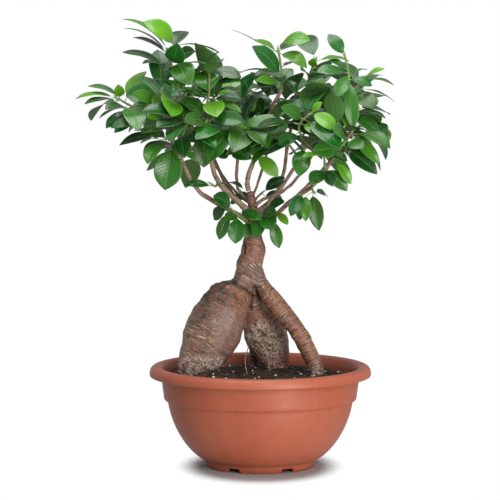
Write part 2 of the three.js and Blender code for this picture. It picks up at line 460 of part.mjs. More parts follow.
// ---- sprays: a shoot with its bud and its leaves -----------------------------------------------
// on, at: the branch that carries the shoot, and how far along; shoot: where it runs from there;
// leaves: set by hand, see placedLeaf; grow: how many more follow by rule.
const SPRAYS = {
  spray_top_left: {
    on: 'branch_left_top', at: 1, shoot: [[-97, -9, 446], [-103, -10, 469]],
    leaves: [
      [-106, 474, -155, 506, 0, 20, 8, 0.6, 0.12], [-98, 479, -130, 503, 14, 23, 55, 1, 0.2],
      [-106, 471, -154, 495, -8, 18, 0, 0.1, 0.11], [-108, 464, -143, 485, -5, 18, 28, 0],
      [-96, 457, -91, 480, 28, 24, 75, 0], [-93, 463, -72, 470, 18, 18, 60, 0], [-97, 475, -85, 491, -28, 22, 10, 0],
      [-92, 476, -45, 466, -14, 18, -2, 0], [-110, 453, -155, 468, 0, 20, 20, 0.1, 0.11],
      [-106, 452, -131, 457, 24, 17, 12, 0], [-89, 454, -50, 448, 6, 20, 2, 0, 0.14],
      [-92, 456, -79, 433, 24, 28, 66, 0.4, 0.14], [-103, 441, -84, 431, 20, 15, 55, 1],
    ],
  },
  spray_left_upper: {
    on: 'branch_left_top', at: 0.9, shoot: [[-98, -16, 415], [-111, -22, 424]],
    leaves: [
      [-116, 418, -150, 421, 8, 28, 58, 0.05, 0.13], [-113, 412, -143, 424, 20, 18, 60, 0.5],
      [-106, 425, -119, 411, 24, 14, 60, 0.6], [-104, 428, -134, 442, -6, 14, 0, 0.2],
      [-101, 431, -117, 440, 26, 15, 20, 0],
    ],
    grow: 3,
  },
  spray_upper_middle: {
    on: 'branch_left_top', at: 0.83, shoot: [[-62, -22, 405], [-57, -26, 424], [-58, -14, 447]],
    leaves: [
      [-58, 421, -62, 447, -22, 30, 72, 0.35, 0.16], [-62, 420, -96, 426, 12, 16, 20, 0.35],
      [-55, 414, -48, 399, 34, 26, 60, 1], [-47, 412, -21, 403, 22, 14, 20, 0.6], [-50, 417, -20, 416, 4, 18, 30, 0],
      [-53, 448, -21, 441, 10, 19, 42, 0.1], [-60, 450, -82, 440, -26, 20, 10, 0.1],
    ],
    grow: 2,
  },
  spray_centre_top: {
    on: 'branch_back_dark', at: 1, shoot: [[-14, 6, 420], [-15, -2, 436]],
    leaves: [
      [-12, 422, -22, 440, 26, 32, 62, 0, 0.12], [-15, 420, -49, 420, 16, 16, 8, 0.9, 0.12],
      [-18, 417, -8, 402, 18, 12, 60, 1], [-5, 416, 3, 401, 18, 18, 70, 0.15], [-8, 424, 12, 429, 8, 10, 10, 0],
      [-17, 440, -52, 430, -16, 20, 25, 0.1],
    ],
    grow: 2,
  },
  spray_top_right: {
    on: 'branch_centre', at: 1, shoot: [[24, 0, 446], [20, -4, 471]],
    leaves: [
      [21, 444, -9, 476, 20, 22, 58, 0], [19, 469, -7, 481, 2, 14, 25, 0.7, 0.12],
      [25, 479, 56, 482, 10, 20, 50, 0.8, 0.13], [23, 470, 39, 474, -28, 16, 20, 0.1],
      [26, 470, 52, 451, 16, 18, 45, 0.7, 0.2], [26, 452, 45, 455, -22, 13, 0, 0],
      [13, 470, -33, 494, 0, 9, -6, 0.2, 0.02], [32, 423, 14, 442, 20, 12, 22, 0.4],
      [36, 422, 22, 441, 17, 14, 50, 0.1], [22, 424, -5, 437, 16, 16, 45, 0.85], [17, 444, -25, 445, 2, 18, -6, 0.1],
      [26, 441, 41, 424, 12, 13, 22, 0],
    ],
  },
  spray_upper_right: {
    on: 'branch_right_back', at: 1, shoot: [[56, 10, 444], [62, 4, 459]],
    leaves: [
      [57, 450, 60, 462, 12, 11, 70, 1], [57, 437, 45, 449, 24, 16, 55, 0], [61, 431, 48, 403, 14, 15, 60, 0.6],
      [56, 422, 86, 423, 18, 20, 52, 0], [66, 459, 100, 457, 0, 16, 14, 0.9, 0.12], [58, 446, 72, 436, -20, 18, 20, 0],
    ],
    grow: 2,
  },
  spray_right_top: {
    on: 'branch_right_light', at: 1, shoot: [[99, -10, 442], [94, -10, 466]],
    leaves: [
      [92, 463, 76, 488, -10, 17, 52, 0], [95, 450, 76, 459, -12, 12, 45, 0.1], [99, 444, 62, 447, 14, 18, 40, 0.2, 0.1],
      [96, 441, 48, 432, 18, 12, 5, 0.1, 0.1], [93, 439, 103, 383, 12, 18, 82, 0.35], [96, 441, 84, 419, 24, 17, 75, 0.3],
      [102, 440, 125, 431, -5, 16, 20, 0.15], [103, 443, 121, 447, -24, 9, 0, 0],
    ],
  },
  spray_far_right: {
    on: 'branch_right_light', at: 0.93, shoot: [[105, -2, 427], [114, -4, 438]],
    leaves: [
      [117, 439, 139, 450, 6, 11, 30, 1], [115, 437, 150, 431, 0, 14, 10, 0.5, 0.1],
      [113, 427, 151, 412, 0, 14, -4, 0.1, 0.08], [103, 425, 127, 406, 20, 24, 42, 0.3],
    ],
  },
  spray_right_middle: {
    on: 'branch_right_light', at: 0.88, shoot: [[100, -22, 402], [107, -24, 406]],
    leaves: [
      [112, 406, 140, 395, 0, 14, 18, 0.1], [108, 401, 133, 394, 6, 16, -15, 0], [104, 398, 133, 377, 14, 20, 40, 0.2],
      [88, 396, 103, 381, 18, 12, 40, 0.85],
    ],
    grow: 3,
  },
  spray_right_front: {
    on: 'branch_right_light', at: 0.69, shoot: [[42, -50, 382], [46, -60, 396], [55, -64, 403]],
    leaves: [
      [59, 403, 84, 386, 16, 18, 60, 1], [42, 392, 69, 380, 12, 16, 50, 1], [57, 405, 68, 416, 8, 9, 40, 1],
      [40, 378, 20, 368, 18, 18, 55, 0.1], [47, 361, 43, 333, 22, 22, 78, 0.3], [46, 398, 28, 409, 10, 18, 60, 0.2],
      [44, 400, 22, 412, 24, 17, 72, 0.3],
    ],
    grow: 3,
  },
  spray_right_low: {
    on: 'branch_right_low', at: 1, shoot: [[96, -52, 374], [101, -54, 381]],
    leaves: [
      [104, 381, 131, 347, 10, 16, 55, 0.65], [112, 377, 136, 361, -12, 16, 20, 0], [108, 373, 134, 338, -8, 16, 20, 0],
      [96, 363, 129, 336, 16, 20, 60, 0], [93, 378, 79, 385, 28, 24, 60, 0.3], [98, 371, 113, 366, 26, 20, 60, 0.3],
      [86, 364, 57, 362, 18, 21, 58, 0.25],
    ],
    grow: 4,
  },
  spray_right_bottom: {
    on: 'branch_right_low', at: 0.8, shoot: [[71, -58, 350], [70, -64, 358]],
    leaves: [
      [72, 343, 96, 317, 8, 18, 60, 0.35], [68, 343, 80, 323, -14, 15, 50, 0], [70, 341, 55, 325, 22, 18, 60, 0.15],
      [66, 357, 46, 357, 22, 10, 8, 0.9], [76, 358, 96, 350, 16, 18, 50, 0.1], [84, 349, 100, 325, 6, 13, 50, 0.9],
    ],
  },
  spray_right_hanging: {
    on: 'branch_right_low', at: 0.66, shoot: [[57, -48, 319], [59, -50, 316]],
    leaves: [
      [58, 311, 65, 273, 10, 18, 84, 0.3], [50, 310, 50, 284, 14, 14, 80, 0.6], [44, 305, 44, 283, -8, 10, 62, 0.3],
      [64, 319, 74, 309, -14, 15, 40, 0.1], [46, 311, 33, 290, 20, 16, 60, 0],
    ],
  },
  spray_low_right: {
    on: 'trunk', from: [-5, -6, 282], shoot: [[2, -18, 290], [8, -22, 294]],
    leaves: [
      [4, 288, 14, 272, 18, 22, 74, 0.2], [14, 280, 21, 250, 5, 15, 80, 0.4], [20, 289, 31, 277, 4, 10, 70, 1],
      [2, 298, 27, 303, 8, 16, 55, 0], [-2, 293, 18, 291, 24, 16, 70, 0.2], [0, 287, -5, 262, 22, 17, 80, 0.25],
    ],
  },
  spray_low_left: {
    on: 'trunk', from: [-8, -5, 267], shoot: [[-15, -21, 279], [-29, -26, 291]],
    leaves: [
      [-22, 289, -40, 284, 14, 15, 50, 0.35], [-25, 287, -28, 256, 10, 21, 84, 0.15], [-35, 288, -46, 260, 4, 16, 75, 0.35],
      [-13, 284, -14, 262, 18, 18, 80, 0.35], [-21, 291, 1, 284, 18, 14, 60, 0.2], [-38, 297, -52, 281, -6, 17, 60, 0], [-34, 298, -53, 310, 16, 21, 60, 0],
    ],
  },
  spray_left_middle: {
    on: 'branch_left_top', at: 0.42, shoot: [[-50, -22, 319], [-55, -24, 322]],
    leaves: [[-53, 318, -84, 321, 0, 14, 16, 0.15], [-46, 327, -20, 321, 18, 13, 30, 0]],
  },
  spray_low_behind: {
    on: 'trunk', from: [-8, 4, 296], shoot: [[-4, 16, 303], [2, 24, 308]],
    leaves: [[2, 309, 28, 325, -10, 15, 50, 0], [6, 304, 27, 296, -24, 18, 40, 0], [-12, 306, -34, 296, -20, 18, 40, 0.1]],
  },
  spray_left_hanging: {
    on: 'branch_left_low', at: 0.86, shoot: [[-99, -40, 370], [-103, -44, 374]],
    leaves: [
      [-99, 361, -106, 317, 8, 33, 84, 0.3, 0.06], [-88, 376, -84, 354, 16, 20, 70, 0.05], [-90, 361, -72, 351, 10, 9, 40, 0.6],
      [-112, 378, -157, 366, 0, 18, 30, 0, 0.1], [-106, 374, -122, 378, 28, 15, 45, 0.35],
      [-113, 373, -134, 367, -18, 11, 0, 0],
    ],
    grow: 3,
  },
  spray_left_vertical: {
    on: 'branch_left_top', at: 0.72, shoot: [[-62, -40, 388], [-60, -48, 394]],
    leaves: [
      [-62, 384, -63, 342, 10, 27, 85, 0.3, 0.05], [-63, 393, -84, 395, 26, 22, 58, 0.35], [-51, 389, -15, 386, 14, 14, 14, 0.6],
      [-50, 397, -18, 394, 16, 20, 60, 0.15], [-76, 389, -98, 384, 18, 12, 30, 0.65],
    ],
    grow: 2,
  },
  spray_inner_low: {
    on: 'branch_back_dark', at: 0.66, shoot: [[-33, 2, 362], [-37, -8, 356]],
    leaves: [
      [-39, 362, -50, 352, 20, 21, 60, 0.15], [-34, 352, -9, 350, 12, 15, 60, 0.25], [-36, 366, -56, 376, 12, 18, 50, 0.1],
    ],
  },
  spray_centre_front: {
    on: 'branch_centre', at: 0.68, shoot: [[-10, -26, 384], [-24, -42, 389]],
    leaves: [
      [-22, 396, 27, 393, 8, 21, 45, 0.4, 0.06], [-19, 381, 28, 373, 10, 25, -48, 0.3, 0.12],
      [-12, 378, -5, 354, 16, 22, 75, 0.25], [-28, 393, -48, 397, 26, 18, 55, 0.1],
    ],
    grow: 4,
  },
  spray_bright_low: {
    on: 'branch_centre', at: 0.52, shoot: [[-5, -10, 357], [-4, -15, 360]],
    leaves: [[-3, 355, 20, 329, 8, 17, 70, 0.95], [-8, 362, -20, 361, 4, 8, 60, 1], [1, 362, 16, 360, 18, 16, 55, 0.1]],
  },
  spray_left_end: {
    on: 'branch_left_low', at: 1, shoot: [[-134, -22, 404], [-150, -20, 412], [-160, -18, 418]],
    leaves: [
      [-166, 419, -207, 417, 0, 16, 15, 0.9, 0.1], [-162, 421, -194, 430, -12, 20, 10, 0.1, 0.1],
      [-156, 420, -158, 434, 14, 13, 62, 0.9], [-163, 416, -196, 411, 12, 18, 32, 0.25], [-150, 407, -172, 407, 24, 20, 30, 0.15],
      [-147, 402, -172, 385, 12, 18, 30, 0], [-144, 402, -181, 394, -14, 12, -6, 0.5], [-141, 398, -162, 381, 22, 14, 45, 0],
      [-118, 394, -166, 386, 14, 18, 50, 0.2], [-147, 404, -113, 394, 14, 17, 58, 0.9, 0.22],
      [-119, 390, -142, 396, 26, 18, 40, 0],
    ],
    grow: 3,
  },
  spray_inner_left: { on: 'branch_left_low', at: 0.93, shoot: [[-104, 2, 396], [-108, 20, 408]], grow: 8 },
  spray_inner_middle: { on: 'branch_left_top', at: 0.76, shoot: [[-52, 14, 398], [-46, 26, 410]], grow: 8 },
  spray_inner_right: { on: 'branch_right_back', at: 0.85, shoot: [[30, 50, 404], [22, 58, 412]], grow: 8 },
  spray_inner_end: { on: 'branch_right_light', at: 0.8, shoot: [[76, 6, 396], [74, 22, 408]], grow: 8 },
  spray_back_middle: { on: 'branch_middle_thin', at: 1, shoot: [[12, 84, 406], [4, 100, 412]], grow: 9 },
  spray_back_left_low: { on: 'branch_back_thin', at: 1, shoot: [[-94, 98, 392], [-108, 96, 402]], grow: 9 },
  spray_back_left: { on: 'branch_back_left', at: 1, shoot: [[-56, 112, 408], [-44, 108, 420]], grow: 9 },
  spray_back_right: { on: 'branch_back_right', at: 1, shoot: [[64, 104, 410], [54, 98, 422]], grow: 9 },
  spray_back_far_right: { on: 'branch_far_right', at: 1, shoot: [[106, 48, 404], [98, 42, 416]], grow: 9 },
  spray_back_low_right: { on: 'branch_back_right', at: 0.7, shoot: [[62, 104, 352], [76, 108, 358]], grow: 7 },
  spray_back_low_left: { on: 'branch_back_left', at: 0.66, shoot: [[-74, 92, 346], [-86, 98, 354]], grow: 7 },
  spray_fill_left: { on: 'branch_left_low', at: 0.78, shoot: [[-84, -46, 384], [-78, -56, 396]], grow: 8 },
  spray_fill_left_middle: { on: 'branch_left_top', at: 0.62, shoot: [[-42, -34, 374], [-34, -42, 384]], grow: 8 },
  spray_fill_middle: { on: 'branch_centre', at: 0.6, shoot: [[10, -26, 384], [14, -38, 394]], grow: 8 },
  spray_fill_behind: { on: 'branch_back_dark', at: 0.8, shoot: [[-32, 40, 380], [-38, 50, 390]], grow: 9 },
  spray_fill_right_front: { on: 'branch_right_light', at: 0.6, shoot: [[30, -40, 370], [22, -46, 380]], grow: 7 },
  spray_fill_right: { on: 'branch_right_back', at: 0.62, shoot: [[48, 18, 374], [56, 6, 384]], grow: 9 },
  spray_fill_right_end: { on: 'branch_far_right', at: 0.8, shoot: [[112, 34, 382], [118, 18, 392]], grow: 9 },
  spray_fill_right_low: { on: 'branch_right_low', at: 0.88, shoot: [[80, -32, 372], [88, -20, 384]], grow: 8 },
  spray_back_top: { on: 'branch_left_top', at: 0.96, shoot: [[-80, 16, 426], [-72, 30, 430]], grow: 7 },
};


// The leaf moved back or forward, its tip most, and turned a little about its own length.
function moved(leaf, shift, roll) {
  const axis = new THREE.Vector3().subVectors(leaf.tip, leaf.base).normalize();
  return {
    ...leaf,
    base: leaf.base.clone().add(new THREE.Vector3(0, 0.3 * shift, 0)),
    tip: leaf.tip.clone().add(new THREE.Vector3(0, shift, 0)),
    up: leaf.up.clone().applyAxisAngle(axis, roll),
  };
}

// The leaf swung round its shoot by an angle about the vertical, its tip raised by a share of its length.
function swung(leaf, degrees, slope) {
  const turn = THREE.MathUtils.degToRad(degrees);
  const upright = new THREE.Vector3(0, 0, 1);
  const about = (p) => p.clone().sub(leaf.root).applyAxisAngle(upright, turn).add(leaf.root);
  const rise = slope * leaf.tip.distanceTo(leaf.base);
  return {
    ...leaf,
    base: about(leaf.base),
    tip: about(leaf.tip).add(new THREE.Vector3(0, 0, rise)),
    up: leaf.up.clone().applyAxisAngle(upright, turn),
  };
}

function buildSprays(obstacles, trunkCutter) {
  const sprays = Object.entries(SPRAYS).map(([name, spray]) => {
    const start = spray.from
      ? new THREE.Vector3(...spray.from)
      : pointOn(BRANCHES[spray.on], spray.at);
    const ends = spray.shoot.map((p) => new THREE.Vector3(...p));
    const tip = ends.at(-1);
    const heading = tip.clone().sub(ends.at(-2) ?? start).normalize();
    const centres = [start, ...ends, tip.clone().addScaledVector(heading, BUD_LENGTH)];
    const curve = new THREE.CatmullRomCurve3(centres);
    const stations = centres.map((p, i, all) => {
      const radius = i === all.length - 1 ? 0.35 : SHOOT_RADIUS * (1.15 - (0.35 * i) / all.length);
      return [p.x, p.y, p.z, radius];
    });
    const cutter = spray.from
      ? trunkCutter
      : limb(thickened(BRANCHES[spray.on], BRANCH_SCALE), BRANCH_SIDES, BRANCHES[spray.on].length, GAP);
    const shoot = limb(stations, 4, 6).subtract(cutter);
    return { name, spray, curve, shoot, leaves: [] };
  });
  sprays.forEach((entry, index) => {
    const { spray, curve } = entry;
    const byHand = (spray.leaves ?? []).map((row) => placedLeaf(curve, row));
    const byRule = Array.from({ length: spray.grow ?? 0 }, (_, i) => grownLeaf(curve, i, spray.grow, index + 1));
    const tries = byHand.map((leaf) => SHIFTS.flatMap((shift) => ROLLS.map((roll) => moved(leaf, shift, roll))));
    byRule.forEach((leaf) => {
      const swings = SLOPES.flatMap((slope) => SWINGS.map((swing) => swung(leaf, swing, slope)));
      tries.push(swings.filter(({ tip }) => tip.x > CROWN_LEFT && tip.x < CROWN_RIGHT));
    });
    tries.forEach((candidates) => {
      const place = candidates.find((candidate) => leafFits(candidate, entry, sprays, obstacles));
      if (place) entry.leaves.push({ whole: leafSolid(place, 0, true), blade: leafSolid(place, 0, false) });
    });
  });
  return sprays;
}

// Every shoot, branch, root and leaf stays clear of a new blade, and its stalk only meets its own shoot.
function leafFits(leaf, own, sprays, obstacles) {
  const swollen = leafSolid(leaf, GAP, true);
  const blade = leafSolid(leaf, GAP, false);
  const hit = obstacles.some((other) => clashes(swollen, other))
    || sprays.some((entry) => clashes(entry === own ? blade : swollen, entry.shoot))
    || sprays.some((entry) => entry.leaves.some((other) => (entry === own
      ? clashes(blade, other.whole) || clashes(swollen, other.blade)
      : clashes(swollen, other.whole))));
  swollen.delete();
  blade.delete();
  return !hit;
}

// ---- assembly ---------------------------------------------------------------------------------------
const trunk = buildTrunk(0);
const trunkCutter = buildTrunk(GAP);
const lift = PLANT_GROUND - SOIL_EDGE;
const pot = buildPot().translate([0, 0, lift]);
const soil = buildSoil().translate([0, 0, lift]).subtract(trunkCutter);
const branches = buildBranches(trunkCutter);
const sprays = buildSprays([trunk, soil, pot, ...Object.values(branches)], trunkCutter);

addPart('pot', pot, POT_COLOUR, 0.5);
addPart('soil', soil, SOIL_COLOUR, 0.95);
addPart('trunk', trunk, ROOT_COLOUR, 0.85);
Object.entries(branches).forEach(([name, solid]) => addPart(name, solid, BRANCH_COLOUR, 0.8));
sprays.forEach(({ name, shoot, leaves }) => {
  addPart(name, leaves.reduce((whole, leaf) => whole.add(leaf.whole), shoot), LEAF_COLOUR, 0.35);
});

// The origin lies under the middle of the whole object, on the surface that it stands on.
const box = new THREE.Box3().setFromObject(model);
const centre = box.getCenter(new THREE.Vector3());
model.position.set(-centre.x, -centre.y, -box.min.z);

export default model;
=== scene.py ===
"""A ginseng fig bonsai: swollen roots over dark soil in a round plastic bowl, under a crown of glossy leaves.

Metres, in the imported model's frame: +Z up, the front of the tree towards -Y, the bowl standing on Z = 0.
"""

import logging
import math
import random
from collections.abc import Callable, Sequence
from dataclasses import dataclass, field
from enum import Enum

import bmesh
import bpy
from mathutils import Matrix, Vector, noise
from mathutils.bvhtree import BVHTree
from mathutils.kdtree import KDTree


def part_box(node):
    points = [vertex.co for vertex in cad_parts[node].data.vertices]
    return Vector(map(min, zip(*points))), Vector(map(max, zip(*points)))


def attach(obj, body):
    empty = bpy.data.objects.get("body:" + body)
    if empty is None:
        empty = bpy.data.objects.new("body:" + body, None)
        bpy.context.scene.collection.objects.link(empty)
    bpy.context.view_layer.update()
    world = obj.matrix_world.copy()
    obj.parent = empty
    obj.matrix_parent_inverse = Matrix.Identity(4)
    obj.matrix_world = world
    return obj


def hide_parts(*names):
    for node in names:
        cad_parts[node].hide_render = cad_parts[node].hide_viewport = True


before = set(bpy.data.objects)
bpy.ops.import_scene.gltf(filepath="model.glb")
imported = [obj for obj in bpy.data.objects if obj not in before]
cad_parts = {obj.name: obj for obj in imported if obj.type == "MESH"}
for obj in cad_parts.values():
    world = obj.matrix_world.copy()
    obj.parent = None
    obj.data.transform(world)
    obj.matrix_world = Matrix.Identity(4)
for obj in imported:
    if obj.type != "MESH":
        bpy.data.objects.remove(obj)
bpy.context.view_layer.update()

MM = 0.001
BODY = "root"
LOG = logging.getLogger("bonsai")

RGB = tuple[float, float, float]


# ---- shader kit --------------------------------------------------------------------------


class Value:
    """A shader socket that is written as arithmetic."""

    def __init__(self, shader: "Shader", socket: bpy.types.NodeSocket) -> None:
        """Wrap one output socket of a material's tree."""
        self.shader = shader
        self.socket = socket

    def _math(self, operation: str, *terms: "Value | float") -> "Value":
        """Add one Math node."""
        return self.shader.node("ShaderNodeMath", {"operation": operation}, dict(enumerate(terms)))

    def __add__(self, other: "Value | float") -> "Value":
        """Sum."""
        return self._math("ADD", self, other)

    __radd__ = __add__

    def __sub__(self, other: "Value | float") -> "Value":
        """Difference."""
        return self._math("SUBTRACT", self, other)

    def __rsub__(self, other: "Value | float") -> "Value":
        """Difference from a plain number."""
        return self._math("SUBTRACT", other, self)

    def __mul__(self, other: "Value | float") -> "Value":
        """Product."""
        return self._math("MULTIPLY", self, other)

    __rmul__ = __mul__

    def __abs__(self) -> "Value":
        """Size without sign."""
        return self._math("ABSOLUTE", self)

    def fraction(self) -> "Value":
        """Part after the point, for a pattern that repeats."""
        return self._math("FRACT", self)

    def ramp(self, low: float, high: float) -> "Value":
        """Ease from 0 at low to 1 at high.

        Args:
            low: Input that gives 0.
            high: Input that gives 1; it may be below low.

        Returns:
            The eased mask.
        """
        inputs = {"Value": self, "From Min": low, "From Max": high}
        return self.shader.node("ShaderNodeMapRange", {"interpolation_type": "SMOOTHSTEP"}, inputs)


class Place(Value):
    """A shader socket that holds a point or a direction."""

    def _vector(self, operation: str, inputs: dict, output: int = 0) -> "Place":
        """Add one Vector Math node."""
        made = self.shader.node("ShaderNodeVectorMath", {"operation": operation}, inputs, output)
        return Place(self.shader, made.socket)

    def __sub__(self, other: Sequence[float]) -> "Place":
        """Point as seen from another point."""
        return self._vector("SUBTRACT", {0: self, 1: tuple(other)})

    def stretched(self, by: Sequence[float]) -> "Place":
        """Point with each axis multiplied by its own number."""
        return self._vector("MULTIPLY", {0: self, 1: tuple(by)})

    def heading(self) -> "Place":
        """Direction of the point from the origin."""
        return self._vector("NORMALIZE", {0: self})

    def distance(self) -> Value:
        """How far the point is from the origin."""
        return Value(self.shader, self._vector("LENGTH", {0: self}, 1).socket)

    def part(self, axis: int) -> Value:
        """One of the three coordinates."""
        return self.shader.node("ShaderNodeSeparateXYZ", {}, {0: self}, axis)


class Shader:
    """A material's node tree under construction."""

    def __init__(self, name: str) -> None:
        """Start an empty material.

        Args:
            name: The material's name.
        """
        self.material = bpy.data.materials.new(name)
        self.material.use_nodes = True
        self.tree = self.material.node_tree
        self.tree.nodes.clear()

    def node(self, kind: str, settings: dict, inputs: dict, output: int = 0) -> Value:
        """Add a node, its settings first and its sockets after them.

        Args:
            kind: The node's type.
            settings: Properties of the node.
            inputs: Values or links by socket name or number.
            output: Which output is handed back.

        Returns:
            The chosen output.
        """
        made = self.tree.nodes.new(kind)
        for key, setting in settings.items():
            setattr(made, key, setting)
        for key, value in inputs.items():
            if isinstance(value, Value):
                self.tree.links.new(value.socket, made.inputs[key])
            else:
                made.inputs[key].default_value = value
        return Value(self, made.outputs[output] if made.outputs else None)

    def place(self) -> Place:
        """Point on the object in its own coordinates, in metres."""
        return Place(self, self.node("ShaderNodeTexCoord", {}, {}, 3).socket)

    def attribute(self, name: str) -> Value:
        """Number stored on the mesh under a name."""
        return self.node("ShaderNodeAttribute", {"attribute_name": name}, {}, 2)

    def noise(self, place: Value, scale: float, detail: float = 3.0, rough: float = 0.55) -> Value:
        """Cloudy pattern from 0 to 1.

        Args:
            place: Where it is looked up.
            scale: Patches to the metre.
            detail: Octaves of finer patches.
            rough: Strength of the finer patches.

        Returns:
            The pattern.
        """
        inputs = {"Vector": place, "Scale": scale, "Detail": detail, "Roughness": rough}
        return self.node("ShaderNodeTexNoise", {}, inputs)

    def streaks(self, place: Value, along: Value, scale: float, detail: float) -> Value:
        """Cloudy pattern with a fourth coordinate of its own, for marks that run one way.

        Args:
            place: Slow coordinates.
            along: Fast coordinate.
            scale: Patches to the unit.
            detail: Octaves of finer patches.

        Returns:
            The pattern.
        """
        inputs = {"Vector": place, "W": along, "Scale": scale, "Detail": detail}
        return self.node("ShaderNodeTexNoise", {"noise_dimensions": "4D"}, inputs)

    def cells(self, place: Value, scale: float) -> Value:
        """Distance from the middle of the nearest grain."""
        return self.node("ShaderNodeTexVoronoi", {}, {"Vector": place, "Scale": scale})

    def blend(self, share: Value | float, first: Value | RGB, second: Value | RGB) -> Value:
        """Mix of two colours.

        Args:
            share: 0 gives the first colour and 1 the second.
            first: One colour.
            second: The other colour.

        Returns:
            The mixed colour.
        """
        inputs = {0: share, 6: self._paint(first), 7: self._paint(second)}
        return self.node("ShaderNodeMix", {"data_type": "RGBA"}, inputs, 2)

    @staticmethod
    def _paint(colour: Value | RGB) -> Value | tuple[float, ...]:
        """Colour as a socket takes it."""
        return colour if isinstance(colour, Value) else (*colour, 1.0)

    def surface(
        self, colour: Value, rough: Value, relief: Value, depth: float, fixed: dict
    ) -> bpy.types.Material:
        """Close the tree with a surface.

        Args:
            colour: Base colour.
            rough: Roughness.
            relief: Height of the fine relief.
            depth: Metres that relief 1 stands for.
            fixed: Socket values that are the same all over.

        Returns:
            The finished material.
        """
        bump = self.node("ShaderNodeBump", {}, {"Strength": 1.0, "Distance": depth, "Height": relief})
        inputs = {"Base Color": colour, "Roughness": rough, "Normal": bump, **fixed}
        shell = self.node("ShaderNodeBsdfPrincipled", {}, inputs)
        self.node("ShaderNodeOutputMaterial", {}, {"Surface": shell})
        return self.material


# ---- finishes ----------------------------------------------------------------------------


@dataclass(frozen=True)
class BowlPlastic:
    """Moulded terracotta-coloured plastic with a faint bloom."""

    body: RGB = (0.335, 0.080, 0.040)
    faded: RGB = (0.365, 0.100, 0.054)
    scuffed: RGB = (0.450, 0.175, 0.110)
    dirt: RGB = (0.16, 0.060, 0.030)
    gloss: float = 0.42
    specular: float = 0.32
    relief: float = 0.12 * MM
    soil_line: float = 104 * MM
    inner_wall: float = 109.2 * MM

    def make(self, centre: Vector) -> bpy.types.Material:
        """Build the material.

        Args:
            centre: Middle of the bowl's foot.

        Returns:
            The material.
        """
        s = Shader("bowl_plastic")
        place = s.place() - centre
        cloud = s.noise(place, 14.0, 4.0)
        drawn = s.noise(place.stretched((1.0, 1.0, 0.12)), 90.0, 3.0)
        fine = s.noise(place, 900.0, 3.0)
        specks = s.cells(place, 260.0).ramp(0.16, 0.05) * s.noise(place, 40.0).ramp(0.52, 0.7)
        height = place.part(2)
        radius = place.stretched((1.0, 1.0, 0.0)).distance()
        inside = radius.ramp(self.inner_wall, self.inner_wall - 0.8 * MM)
        inside = inside * height.ramp(self.soil_line - 20 * MM, self.soil_line - 14 * MM)
        tide = inside * height.ramp(self.soil_line + 8 * MM, self.soil_line - 6 * MM) * cloud.ramp(0.25, 0.6)
        colour = s.blend(cloud.ramp(0.35, 0.7) * 0.8, self.body, self.faded)
        colour = s.blend(drawn.ramp(0.5, 0.75) * 0.14, colour, self.scuffed)
        colour = s.blend(specks * 0.35, colour, self.scuffed)
        colour = s.blend(tide * 0.8, colour, self.dirt)
        rough = self.gloss + 0.16 * (cloud - 0.5) + 0.12 * (fine - 0.5) + 0.25 * tide
        grain = 0.6 * fine + 1.5 * cloud
        return s.surface(colour, rough, grain, self.relief, {"Specular IOR Level": self.specular})


